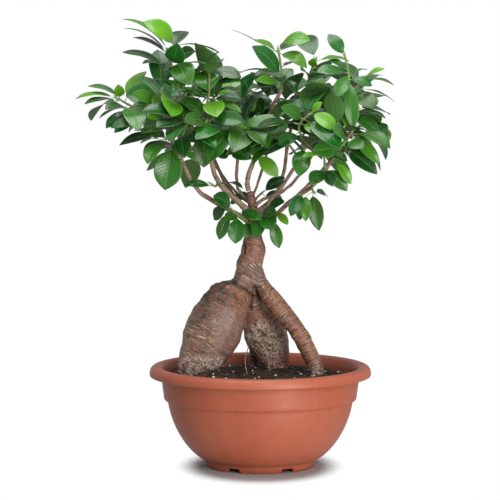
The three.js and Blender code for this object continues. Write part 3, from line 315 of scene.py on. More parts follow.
@dataclass(frozen=True)
class Bark:
    """Thin brown fig bark with pale dashes that run round each limb; shade is painted into its hollows and a
    mauve sheen onto its smooth places.
    """

    # dark colours the bark's rings and pits, and also the painted shade in its hollows
    dark: RGB = (0.034, 0.016, 0.010)
    body: RGB = (0.112, 0.060, 0.040)
    mauve: RGB = (0.165, 0.094, 0.078)
    warm: RGB = (0.205, 0.078, 0.042)
    dash: RGB = (0.500, 0.315, 0.200)
    crust: RGB = (0.500, 0.430, 0.370)
    branch: RGB = (0.235, 0.150, 0.100)
    branch_pale: RGB = (0.300, 0.215, 0.160)
    relief: float = 0.9 * MM
    branch_relief: float = 0.35 * MM

    def make(self) -> bpy.types.Material:
        """Build the material of the trunk and its roots from the attributes of its skin, with painted shade
        in its hollows and a painted mauve sheen on its smooth places.

        Returns:
            The material.
        """
        s = Shader("bark")
        place = s.place()
        run = s.attribute("run")
        crevice_shade = s.attribute("crevice_shade")
        crusty = s.attribute("crust")
        corky = s.attribute("cork")
        ruddy = s.attribute("ruddy")
        sleek_sheen = s.attribute("sleek_sheen")
        rings = s.streaks(place, run * 8.0, 62.0, 4.0)
        dashes = s.streaks(place, run * 15.0, 84.0, 2.0)
        threads = s.streaks(place, run * 12.0, 190.0, 2.0)
        cloud = s.noise(place, 24.0, 4.0)
        patch = s.noise(place, 60.0, 4.0)
        clump = s.noise(place, 150.0, 5.0, 0.7)
        grit = s.noise(place, 460.0, 4.0)
        gate = s.noise(place, 34.0, 2.0).ramp(0.34, 0.52) * (1.0 - 0.7 * sleek_sheen)
        salt = crusty * (0.5 * clump + 0.5 * grit).ramp(0.45, 0.56)
        colour = s.blend(cloud.ramp(0.38, 0.60), self.body, self.mauve)
        # painted sheen: the smooth places are painted mauve where the bark shines; they are also glossier and
        # less marked
        colour = s.blend(sleek_sheen * 0.75, colour, self.mauve)
        colour = s.blend(patch.ramp(0.50, 0.70) * (0.75 - 0.5 * sleek_sheen), colour, self.warm)
        colour = s.blend(ruddy * (0.45 + 0.7 * patch), colour, self.warm)
        colour = s.blend(corky * clump.ramp(0.46, 0.60) * 0.8, colour, self.warm)
        colour = s.blend(rings.ramp(0.49, 0.35) * (0.85 - 0.4 * sleek_sheen), colour, self.dark)
        colour = s.blend(threads.ramp(0.60, 0.68) * (0.5 - 0.35 * sleek_sheen), colour, self.dash)
        dashed = dashes.ramp(0.565, 0.610) * gate * (0.9 - 0.7 * corky) * (1.0 - 0.35 * ruddy)
        colour = s.blend(dashed, colour, self.dash)
        colour = s.blend(grit.ramp(0.57, 0.72) * 0.4, colour, self.dash)
        colour = s.blend(grit.ramp(0.45, 0.31) * 0.6, colour, self.dark)
        colour = s.blend(corky * clump.ramp(0.44, 0.30) * 0.9, colour, self.dark)
        colour = s.blend(crusty * clump.ramp(0.44, 0.32) * 0.6, colour, self.dark)
        # painted shade: the bark is darkened in its hollows and grooves, where shade falls
        colour = s.blend(crevice_shade * 0.92, colour, self.dark)
        colour = s.blend(salt * 0.75, colour, self.crust)
        grain = 1.4 * rings + 0.9 * dashes + 0.9 * grit + 0.5 * patch + (corky + 0.5 * crusty) * clump * 2.4
        rough = 0.43 + 0.3 * (grit - 0.5) + 0.3 * salt + 0.25 * corky - 0.07 * sleek_sheen
        return s.surface(colour, rough, grain, self.relief, {"Specular IOR Level": 0.5})

    def make_branch(self) -> bpy.types.Material:
        """Build the material of the thin branches, lighter and finer than the trunk's, with painted shade in
        their hollows.

        Returns:
            The material.
        """
        s = Shader("branch_bark")
        place = s.place()
        cloud = s.noise(place, 40.0, 4.0)
        rings = s.noise(place.stretched((0.35, 0.35, 1.0)), 420.0, 3.0)
        grit = s.noise(place, 900.0, 3.0)
        colour = s.blend(cloud.ramp(0.35, 0.65), self.branch, self.branch_pale)
        colour = s.blend(rings.ramp(0.50, 0.36) * 0.5, colour, self.dark)
        colour = s.blend(rings.ramp(0.58, 0.70) * 0.6, colour, self.dash)
        # painted shade: the branch bark is darkened in its hollows, where shade falls
        colour = s.blend(s.attribute("crevice_shade") * 0.7, colour, self.dark)
        rough = 0.6 + 0.2 * (grit - 0.5)
        return s.surface(colour, rough, rings + 0.5 * grit, self.branch_relief, {"Specular IOR Level": 0.35})


@dataclass(frozen=True)
class LeafGreen:
    """Leathery glossy leaf: pale midrib above, matt and paler underneath, yellow-green while young."""

    deep: RGB = (0.002, 0.032, 0.003)
    body: RGB = (0.004, 0.108, 0.007)
    young: RGB = (0.088, 0.285, 0.003)
    rib: RGB = (0.110, 0.250, 0.040)
    under: RGB = (0.060, 0.150, 0.030)
    gloss: float = 0.27
    relief: float = 0.35 * MM

    def make(self) -> bpy.types.Material:
        """Build the material from the attributes every leaf carries.

        Returns:
            The material.
        """
        s = Shader("leaf_green")
        run = s.attribute("leaf_run")
        side = abs(s.attribute("leaf_side"))
        age = s.attribute("leaf_age")
        tone = s.attribute("leaf_tone")
        under = s.attribute("leaf_under")
        place = s.place()
        cloud = s.noise(place, 70.0, 3.0)
        fine = s.noise(place, 700.0, 3.0)
        rib = side.ramp(0.075, 0.015) * run.ramp(1.02, 0.70)
        chevron = abs((11.0 * run - 2.6 * side).fraction() - 0.5) * 2.0
        vein = chevron.ramp(0.80, 1.0) * side.ramp(1.0, 0.7)
        edge = side.ramp(0.9, 1.0)
        colour = s.blend((0.65 * tone + 0.7 * (cloud - 0.5)).ramp(0.0, 0.75), self.deep, self.body)
        colour = s.blend(age * (0.35 + 0.65 * age), colour, self.young)
        colour = s.blend(vein * 0.16, colour, self.rib)
        colour = s.blend(edge * 0.35, colour, self.rib)
        colour = s.blend(rib * 0.5, colour, self.rib)
        colour = s.blend(under * 0.75, colour, self.under)
        polish = (7.0 * tone).fraction() - 0.5
        rough = self.gloss + 0.12 * polish + 0.14 * (fine - 0.5) + 0.10 * (cloud - 0.5) + 0.28 * under
        grain = 0.25 * fine - 1.1 * rib - 0.45 * vein
        fixed = {"Specular IOR Level": 0.5, "Coat Weight": 0.06, "Coat Roughness": 0.16}
        return s.surface(colour, rough, grain, self.relief, fixed)


@dataclass(frozen=True)
class ShootGreen:
    """Green young wood and leaf stalks, browning in places."""

    fresh: RGB = (0.150, 0.270, 0.055)
    woody: RGB = (0.190, 0.150, 0.075)
    relief: float = 0.15 * MM

    def make(self) -> bpy.types.Material:
        """Build the material.

        Returns:
            The material.
        """
        s = Shader("shoot_green")
        place = s.place()
        cloud = s.noise(place, 60.0, 3.0)
        fine = s.noise(place, 1100.0, 3.0)
        colour = s.blend(cloud.ramp(0.45, 0.68), self.fresh, self.woody)
        rough = 0.45 + 0.2 * (fine - 0.5)
        return s.surface(colour, rough, fine, self.relief, {"Specular IOR Level": 0.4})


@dataclass(frozen=True)
class PottingMix:
    """Dark moist potting mix, its crumbs of several browns told apart by an attribute."""

    wet: RGB = (0.010, 0.006, 0.004)
    body: RGB = (0.050, 0.031, 0.021)
    dry: RGB = (0.150, 0.104, 0.078)
    chip: RGB = (0.120, 0.072, 0.045)
    grain: RGB = (0.680, 0.650, 0.610)
    relief: float = 0.9 * MM

    def make(self) -> bpy.types.Material:
        """Build the material of the soil and of its crumbs.

        Returns:
            The material.
        """
        s = Shader("potting_mix")
        place = s.place()
        kind = s.attribute("crumb_tone")
        cloud = s.noise(place, 60.0, 5.0, 0.65)
        clod = s.cells(place, 330.0)
        fine = s.noise(place, 1200.0, 4.0)
        colour = s.blend(cloud.ramp(0.35, 0.62), self.wet, self.body)
        colour = s.blend(fine.ramp(0.52, 0.66) * 0.9, colour, self.dry)
        colour = s.blend(kind.ramp(0.15, 0.45), colour, self.chip)
        colour = s.blend(kind.ramp(0.7, 0.9), colour, self.grain)
        rough = 0.85 + 0.2 * (fine - 0.5)
        lumps = 1.0 - clod + 0.6 * fine
        return s.surface(colour, rough, lumps, self.relief, {"Specular IOR Level": 0.25})


@dataclass(frozen=True)
class RootThread:
    """Dry straw-coloured air root."""

    pale: RGB = (0.480, 0.310, 0.200)
    dark: RGB = (0.260, 0.150, 0.090)
    relief: float = 0.2 * MM

    def make(self) -> bpy.types.Material:
        """Build the material.

        Returns:
            The material.
        """
        s = Shader("root_thread")
        patch = s.noise(s.place(), 260.0, 3.0)
        colour = s.blend(patch.ramp(0.4, 0.65), self.pale, self.dark)
        return s.surface(colour, 0.6 + 0.1 * patch, patch, self.relief, {})


# ---- mesh kit ----------------------------------------------------------------------------


def merged_copy(node: str) -> bmesh.types.BMesh:
    """Copy a CAD node's mesh with its loose triangles joined at their corners.

    Args:
        node: The node's name.

    Returns:
        The copy.
    """
    shape = bmesh.new()
    shape.from_mesh(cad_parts[node].data)
    bmesh.ops.remove_doubles(shape, verts=shape.verts, dist=0.001 * MM)
    return shape


def link(name: str, shape: bmesh.types.BMesh | bpy.types.Mesh) -> bpy.types.Object:
    """Make an object at the origin from a shape.

    Args:
        name: The object's name.
        shape: A mesh under construction, which is used up, or a finished mesh.

    Returns:
        The linked object.
    """
    mesh = shape
    if isinstance(shape, bmesh.types.BMesh):
        mesh = bpy.data.meshes.new(name)
        shape.to_mesh(mesh)
        shape.free()
    made = bpy.data.objects.new(name, mesh)
    bpy.context.scene.collection.objects.link(made)
    return made


def skinned(shape: bmesh.types.BMesh, grain: float, passes: int) -> bmesh.types.BMesh:
    """Give a faceted shape one even, rounded skin of small quads.

    Args:
        shape: The faceted shape, which is used up.
        grain: Size of the quads.
        passes: Smoothing passes.

    Returns:
        The smooth shape.
    """
    draft = link("draft", shape)
    skin = draft.modifiers.new("skin", "REMESH")
    skin.mode = "VOXEL"
    skin.voxel_size = grain
    soft = draft.modifiers.new("soft", "SMOOTH")
    soft.factor = 0.5
    soft.iterations = passes
    bpy.context.view_layer.update()
    graph = bpy.context.evaluated_depsgraph_get()
    result = bpy.data.meshes.new_from_object(draft.evaluated_get(graph))
    made = bmesh.new()
    made.from_mesh(result)
    old = draft.data
    bpy.data.objects.remove(draft)
    bpy.data.meshes.remove(old)
    bpy.data.meshes.remove(result)
    return made


def shade_smooth(shape: bmesh.types.BMesh) -> None:
    """Shade every face smoothly."""
    for face in shape.faces:
        face.smooth = True


def mark_crevices(shape: bmesh.types.BMesh, passes: int, depth: float) -> None:
    """Store how deep each point lies in a hollow, as an attribute that the bark uses to paint shade into its
    hollows.

    Args:
        shape: The shape, left as it was.
        passes: Smoothing passes that tell a hollow from a flat.
        depth: Depth that counts as a full hollow.
    """
    layer = shape.verts.layers.float.new("crevice_shade")
    shape.normal_update()
    before = [(v.co.copy(), v.normal.copy()) for v in shape.verts]
    for _ in range(passes):
        bmesh.ops.smooth_vert(
            shape, verts=shape.verts, factor=0.5, use_axis_x=True, use_axis_y=True, use_axis_z=True
        )
    for vert, (place, normal) in zip(shape.verts, before):
        vert[layer] = min(max((vert.co - place).dot(normal) / depth, 0.0), 1.0)
        vert.co = place


def push_out(shape: bmesh.types.BMesh, height: Callable[[Vector], float]) -> None:
    """Move every point along its normal.

    Args:
        shape: The shape to roughen.
        height: Metres to move for a point.
    """
    shape.normal_update()
    moves = [(v, v.normal * height(v.co)) for v in shape.verts]
    for vert, move in moves:
        vert.co += move


def wire(shape: bmesh.types.BMesh, points: Sequence[Vector], radii: Sequence[float], sides: int) -> None:
    """Draw a round thread through points.

    Args:
        shape: Mesh under construction that receives the thread.
        points: Middle line.
        radii: Radius at each point.
        sides: Faces round the thread.
    """
    ring = None
    for i, (point, radius) in enumerate(zip(points, radii)):
        ahead = points[min(i + 1, len(points) - 1)] - points[max(i - 1, 0)]
        turn = ahead.to_track_quat("Z", "Y").to_matrix().to_4x4()
        turn.translation = point
        made = bmesh.ops.create_circle(
            shape, cap_ends=i in (0, len(points) - 1), segments=sides, radius=radius, matrix=turn
        )["verts"]
        edges = [e for e in shape.edges if e.verts[0] in made and e.verts[1] in made]
        if ring:
            bmesh.ops.bridge_loops(shape, edges=ring + edges)
        ring = edges


def present(piece: bpy.types.Object, slot: str, material: bpy.types.Material, *stands_for: str) -> None:
    """Dress a finished piece and fix it to the body.

    Args:
        piece: The piece.
        slot: Material slot of the record; not used.
        material: Its finish.
        stands_for: CAD nodes it stands for.
    """
    piece.data.materials.clear()
    piece.data.materials.append(material)
    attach(piece, BODY)
    if stands_for:
        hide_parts(*stands_for)
    LOG.info("%s: %d faces", piece.name, len(piece.data.polygons))


# ---- bowl --------------------------------------------------------------------------------


@dataclass
class Bowl:
    """Round moulded bowl: rolled lip, upright band over a step, round belly and a notched foot ring.

    Attributes:
        lip_width: How far the lip stands out beyond the wall under it.
        band_draft: How much the band narrows on its way down.
        band_step: How far the band stands out over the belly.
        step_undercut: How much further in the belly starts under the step.
        foot_flare: How far outside the foot ring the belly starts.
        facets: Steps of the turned shape.
        belly_steps: Stretches of the belly's curve, outside and inside.
        lip_roll: The lip's round, as millimetres in from its edge and down from its top.
    """

    rim_radius: float = 125 * MM
    lip_width: float = 12.8 * MM
    lip_height: float = 11.4 * MM
    height: float = 114.4 * MM
    wall: float = 3.7 * MM
    band_height: float = 27.2 * MM
    band_draft: float = 3.5 * MM
    band_step: float = 2.8 * MM
    step_undercut: float = 1.1 * MM
    foot_radius: float = 60.6 * MM
    foot_width: float = 4.5 * MM
    foot_height: float = 8.8 * MM
    foot_flare: float = 3.9 * MM
    floor_height: float = 5.2 * MM
    inner_floor: float = 8.7 * MM
    notches: int = 6
    notch_width: float = 18 * MM
    notch_height: float = 4.8 * MM
    notch_round: float = 1.6 * MM
    facets: int = 144
    belly_steps: tuple[int, int] = (22, 14)
    lip_roll: tuple[tuple[float, float], ...] = (
        (0.7, 11.2), (0.15, 10.6), (0.0, 9.6), (0.02, 7.6), (0.25, 5.4), (0.9, 3.6), (1.9, 2.2), (3.3, 1.05),
        (5.0, 0.35), (7.0, 0.0), (9.2, 0.08), (11.2, 0.5), (12.9, 1.3), (14.1, 2.4), (15.0, 3.8),
    )
    finish: BowlPlastic = field(default_factory=BowlPlastic)

    def __post_init__(self) -> None:
        """Take the place of the bowl from its CAD node."""
        low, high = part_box("pot")
        self.centre = Vector(((low.x + high.x) / 2, (low.y + high.y) / 2, low.z))

    def at(self, x: float, y: float, z: float) -> Vector:
        """Point given in millimetres from the middle of the bowl's foot."""
        return self.centre + Vector((x, y, z)) * MM

    def belly(self, inset: float, count: int) -> list[tuple[float, float]]:
        """Curve of the belly from the foot up to the step.

        Args:
            inset: How far inside the outer face it runs.
            count: Number of stretches.

        Returns:
            Radius and height of each point.
        """
        top = self.rim_radius - self.lip_width - self.band_draft - self.band_step - self.step_undercut
        start = self.foot_radius + self.foot_flare
        flare = top - start
        step = self.height - self.lip_height - self.band_height
        rise = step - self.foot_height
        guides = (
            (start - inset, self.foot_height + 0.3 * inset),
            (start + 0.45 * flare - 0.7 * inset, self.foot_height + 0.13 * rise + 0.7 * inset),
            (start + 0.9 * flare - inset, self.foot_height + 0.55 * rise),
            (top - inset, step),
        )
        points = []
        for i in range(count + 1):
            t = i / count
            shares = ((1 - t) ** 3, 3 * t * (1 - t) ** 2, 3 * t * t * (1 - t), t**3)
            points.append(tuple(sum(s * g[k] for s, g in zip(shares, guides)) for k in (0, 1)))
        return points

    def profile(self) -> list[tuple[float, float]]:
        """Outline of half a cut through the bowl, from the middle underneath round to the middle inside.

        Returns:
            Radius and height of each point.
        """
        wall_top = self.rim_radius - self.lip_width
        band_foot = wall_top - self.band_draft
        lip_foot = self.height - self.lip_height
        step = lip_foot - self.band_height
        foot_in = self.foot_radius - self.foot_width
        start = self.foot_radius + self.foot_flare
        lip = [(self.rim_radius - inward * MM, self.height - down * MM) for inward, down in self.lip_roll]
        return [
            (0.0, self.floor_height),
            (foot_in - 1.0 * MM, self.floor_height),
            (foot_in - 0.1 * MM, 0.5 * MM),
            (foot_in + 0.5 * MM, 0.0),
            (self.foot_radius - 0.6 * MM, 0.0),
            (self.foot_radius, 0.6 * MM),
            (self.foot_radius + 1.4 * MM, self.foot_height - 3.4 * MM),
            (self.foot_radius + 2.2 * MM, self.foot_height - 1.2 * MM),
            *self.belly(0.0, self.belly_steps[0]),
            (band_foot - self.band_step - 0.7 * MM, step + 0.5 * MM),
            (band_foot - 0.7 * MM, step + 0.8 * MM),
            (band_foot, step + 1.7 * MM),
            (band_foot + 0.4 * MM, step + 5.0 * MM),
            (wall_top - 0.5 * MM, lip_foot - 3.0 * MM),
            (wall_top, lip_foot - 0.6 * MM),
            (wall_top + 0.8 * MM, lip_foot),
            (self.rim_radius - 1.6 * MM, lip_foot),
            *lip,
            (wall_top - self.wall - 0.6 * MM, lip_foot),
            (band_foot - self.wall, step + 1.5 * MM),
            *reversed(self.belly(self.wall, self.belly_steps[1])),
            (start - 5 * MM, self.inner_floor),
            (0.0, self.inner_floor),
        ]

    def notch(self) -> bmesh.types.BMesh:
        """Bars that cut the notches through the foot ring, two notches to a bar.

        Returns:
            All the bars in one mesh.
        """
        bars = bmesh.new()
        size = (self.notch_width, 3 * self.foot_radius, 2 * self.notch_height)
        for i in range(self.notches // 2):
            earlier = set(bars.verts)
            made = bmesh.ops.create_cube(bars, size=1.0)["verts"]
            bmesh.ops.scale(bars, vec=size, verts=made)
            top = [v for v in made if v.co.z > 0]
            bmesh.ops.scale(bars, vec=(0.8, 1.0, 1.0), verts=top)
            upper = [e for e in bars.edges if e.verts[0] in top and e.verts[1] in top]
            ridges = [e for e in upper if abs(e.verts[0].co.x - e.verts[1].co.x) < 0.001 * MM]
            bmesh.ops.bevel(
                bars, geom=ridges, offset=self.notch_round, offset_type="OFFSET", affect="EDGES",
                segments=4, profile=0.5, material=-1,
            )
            turn = (2 * i + 1) * math.pi / self.notches
            heading = Vector((math.sin(turn), math.cos(turn), 0)).to_track_quat("Y", "Z").to_matrix()
            fresh = [v for v in bars.verts if v not in earlier]
            bmesh.ops.rotate(bars, cent=(0, 0, 0), matrix=heading, verts=fresh)
        bmesh.ops.translate(bars, vec=self.centre, verts=bars.verts)
        return bars

    def build(self) -> bpy.types.Object:
        """Spin the outline, cut the notches and dress the bowl.

        Returns:
            The bowl.
        """
        shape = bmesh.new()
        verts = [shape.verts.new(self.centre + Vector((r, 0, z))) for r, z in self.profile()]
        edges = [shape.edges.new(pair) for pair in zip(verts, verts[1:])]
        bmesh.ops.spin(
            shape, geom=verts + edges, cent=self.centre, axis=(0, 0, 1), angle=2 * math.pi,
            steps=self.facets, use_merge=True, use_duplicate=False,
        )
        bmesh.ops.remove_doubles(shape, verts=shape.verts, dist=0.01 * MM)
        bmesh.ops.recalc_face_normals(shape, faces=shape.faces)
        shade_smooth(shape)
        bowl = link("bowl", shape)
        cutter = link("notch_bars", self.notch())
        cut = bowl.modifiers.new("notches", "BOOLEAN")
        cut.operation = "DIFFERENCE"
        cut.solver = "EXACT"
        cut.object = cutter
        bpy.context.view_layer.update()
        graph = bpy.context.evaluated_depsgraph_get()
        cut_mesh = bpy.data.meshes.new_from_object(bowl.evaluated_get(graph))
        bowl.modifiers.clear()
        bowl.data = cut_mesh
        bpy.data.objects.remove(cutter)
        present(bowl, "pot_plastic", self.finish.make(self.centre), "pot")
        return bowl


# ---- soil --------------------------------------------------------------------------------


@dataclass(frozen=True)
class Grading:
    """How many crumbs of one kind there are, and how they look.

    Attributes:
        tone: What the attribute crumb_tone holds: 0 soil, 0.5 chip, 1 white grain.
        count: How many are scattered.
        least: Least length.
        most: Greatest length.
        flatness: Height over length.
    """

    tone: float
    count: int
    least: float
    most: float
    flatness: float


class Crumb(Enum):
    """Kinds of crumb on the soil."""

    PEAT = Grading(0.0, 900, 1.8 * MM, 4.6 * MM, 0.7)
    CHIP = Grading(0.5, 34, 2.5 * MM, 6.0 * MM, 0.35)
    PERLITE = Grading(1.0, 120, 1.0 * MM, 3.6 * MM, 0.8)


@dataclass
class Soil:
    """Mounded potting mix with crumbs, bark chips and white grains on its surface.

    Attributes:
        reach: Radius within which crumbs lie.
        grain: Size of the skin's quads.
        lumps: Height of the lumps.
        surface_depth: How far below the lip's top the soil is still surface, which is lumped and heaped.
        crumb_depth: How far below the lip's top a crumb may lie.
        clearance: Gap that crumbs keep from the roots.
        heaps: Mounds as x, y, radius and height, in millimetres from the bowl's middle.
        grains: Places of the big white grains, in the same millimetres.
    """

    bowl: Bowl
    seed: int = 11
    reach: float = 102 * MM
    grain: float = 2.0 * MM
    lumps: float = 1.1 * MM
    surface_depth: float = 24 * MM
    crumb_depth: float = 22 * MM
    clearance: float = 1.0 * MM
    heaps: tuple[tuple[float, float, float, float], ...] = (
        (-62.0, -50.0, 38.0, 10.5), (-98.0, -8.0, 30.0, 6.5),
        (10.0, -60.0, 40.0, 2.5), (82.0, -30.0, 30.0, 4.5),
    )
    grains: tuple[tuple[float, float], ...] = (
        (-47.0, -92.0), (-41.0, -80.0), (60.0, -30.0), (99.0, -72.0), (17.0, -28.0), (4.0, -90.0),
        (-57.0, -76.0), (-54.0, -73.0), (-59.0, -72.0), (-55.0, -69.0), (-51.0, -71.0), (-52.0, -66.0),
        (-38.0, -62.0),
    )
    finish: PottingMix = field(default_factory=PottingMix)

    def ground(self, obstacle: BVHTree, surface: BVHTree, x: float, y: float) -> Vector | None:
        """Point of the soil's surface under a place, unless a root stands there.

        Args:
            obstacle: The trunk and its roots.
            surface: The soil.
            x: Place across.
            y: Place in depth.

        Returns:
            The point, or None.
        """
        above = Vector((x, y, self.bowl.height + 6 * MM))
        down = Vector((0, 0, -1))
        hit = surface.ray_cast(above, down)[0]
        if hit is None or hit.z < self.bowl.height - self.crumb_depth:
            return None
        blocked = obstacle.ray_cast(above, down, above.z - hit.z)[0]
        near = obstacle.find_nearest(hit, self.clearance)[0]
        return None if blocked or near else hit

    @property
    def level(self) -> float:
        """Height above which the soil is surface."""
        return self.bowl.height - self.surface_depth

    def lumpy(self, point: Vector) -> float:
        """Work out how high the lumps stand at a point.

        Args:
            point: The point.

        Returns:
            The height, 0 below the surface.
        """
        if point.z < self.level:
            return 0.0
        return self.lumps * (noise.fractal(point * 160, 0.7, 2.0, 4) + 0.4 * noise.noise(point * 420))

    def heap_up(self, shape: bmesh.types.BMesh) -> None:
        """Raise the surface round the roots.

        Args:
            shape: The soil.
        """
        for vert in shape.verts:
            if vert.co.z < self.level:
                continue
            place = (vert.co - self.bowl.centre) / MM
            for x, y, radius, height in self.heaps:
                gap = math.hypot(place.x - x, place.y - y) / radius
                vert.co.z += height * MM * max(1.0 - gap * gap, 0.0) ** 2

    def build(self) -> list[bpy.types.Object]:
        """Make the soil and its crumbs.

        Returns:
            The soil and the crumbs.
        """
        trunk = merged_copy("trunk")
        obstacle = BVHTree.FromBMesh(trunk)
        trunk.free()
        shape = skinned(merged_copy("soil"), self.grain, 2)
        push_out(shape, self.lumpy)
        self.heap_up(shape)
        shade_smooth(shape)
        surface = BVHTree.FromBMesh(shape)
        soil = link("soil_mound", shape)
        material = self.finish.make()
        present(soil, "potting_mix", material, "soil")
        crumbs = link("soil_crumbs", self.crumbs(obstacle, surface))
        present(crumbs, "potting_mix", material)
        return [soil, crumbs]

    def crumbs(self, obstacle: BVHTree, surface: BVHTree) -> bmesh.types.BMesh:
        """Scatter the crumbs.

        Args:
            obstacle: The trunk and its roots.
            surface: The soil.

        Returns:
            All the crumbs in one mesh.
        """
        rng = random.Random(self.seed)
        heap = bmesh.new()
        layer = heap.verts.layers.float.new("crumb_tone")
        for kind in Crumb:
            sort = kind.value
            fixed = self.grains if kind is Crumb.PERLITE else ()
            for i in range(sort.count):
                angle = rng.uniform(0, 2 * math.pi)
                radius = self.reach * math.sqrt(rng.random())
                x, y = radius * math.cos(angle), radius * math.sin(angle)
                if i < len(fixed):
                    x, y = fixed[i][0] * MM, fixed[i][1] * MM
                seat = self.ground(obstacle, surface, self.bowl.centre.x + x, self.bowl.centre.y + y)
                size = sort.most
                if i >= len(fixed):
                    size = rng.uniform(sort.least, sort.most) * rng.uniform(0.7, 1.0)
                spin = rng.uniform(0, math.pi)
                if seat is None:
                    continue
                made = bmesh.ops.create_icosphere(heap, subdivisions=1, radius=size / 2)["verts"]
                long = 1.0 if kind is Crumb.PERLITE else rng.uniform(1.0, 1.7)
                bmesh.ops.scale(heap, vec=(long, 1.0, sort.flatness), verts=made)
                for vert in made:
                    vert.co *= 1 + 0.5 * noise.noise(vert.co * (1.2 / size) + Vector((i, sort.tone * 7, 0)))
                    vert[layer] = sort.tone + (rng.uniform(-0.04, 0.04) if sort.tone else 0.0)
                lean = Vector((math.cos(spin), math.sin(spin), rng.uniform(-0.35, 0.35)))
                turn = lean.to_track_quat("X", "Z").to_matrix()
                bmesh.ops.rotate(heap, cent=(0, 0, 0), matrix=turn, verts=made)
                bmesh.ops.translate(heap, vec=seat + Vector((0, 0, size * sort.flatness * 0.18)), verts=made)
        shade_smooth(heap)
        return heap


# ---- trunk and branches ------------------------------------------------------------------


@dataclass(frozen=True)
class Limb:
    """Middle line of the neck or of a root, in millimetres from the bowl's foot, starting at the fork.

    Attributes:
        girth: Its rough radius.
        sense: 1 down a root, -1 up the neck.
        path: Points of the line.
    """

    girth: float
    sense: float
    path: tuple[tuple[float, float, float], ...]


@dataclass(frozen=True)
class Spot:
    """Round place on the bark, in millimetres from the bowl's foot.

    Attributes:
        place: Its middle.
        radius: Its radius.
    """

    place: tuple[float, float, float]
    radius: float


@dataclass(frozen=True)
class Nudge:
    """Soft push of all the bark that lies behind a place of the front view, in millimetres.

    Attributes:
        across: The place's x.
        height: The place's height.
        radius: Where the push has faded out.
        push: How far the middle moves, across and up.
    """

    across: float
    height: float
    radius: float
    push: tuple[float, float]


@dataclass(frozen=True)
class Groove:
    """Line cut into the front of the bark, in millimetres.

    Attributes:
        path: Its points, across and up.
        radius: Half its width.
        depth: Its depth in the middle.
    """

    path: tuple[tuple[float, float], ...]
    radius: float
    depth: float


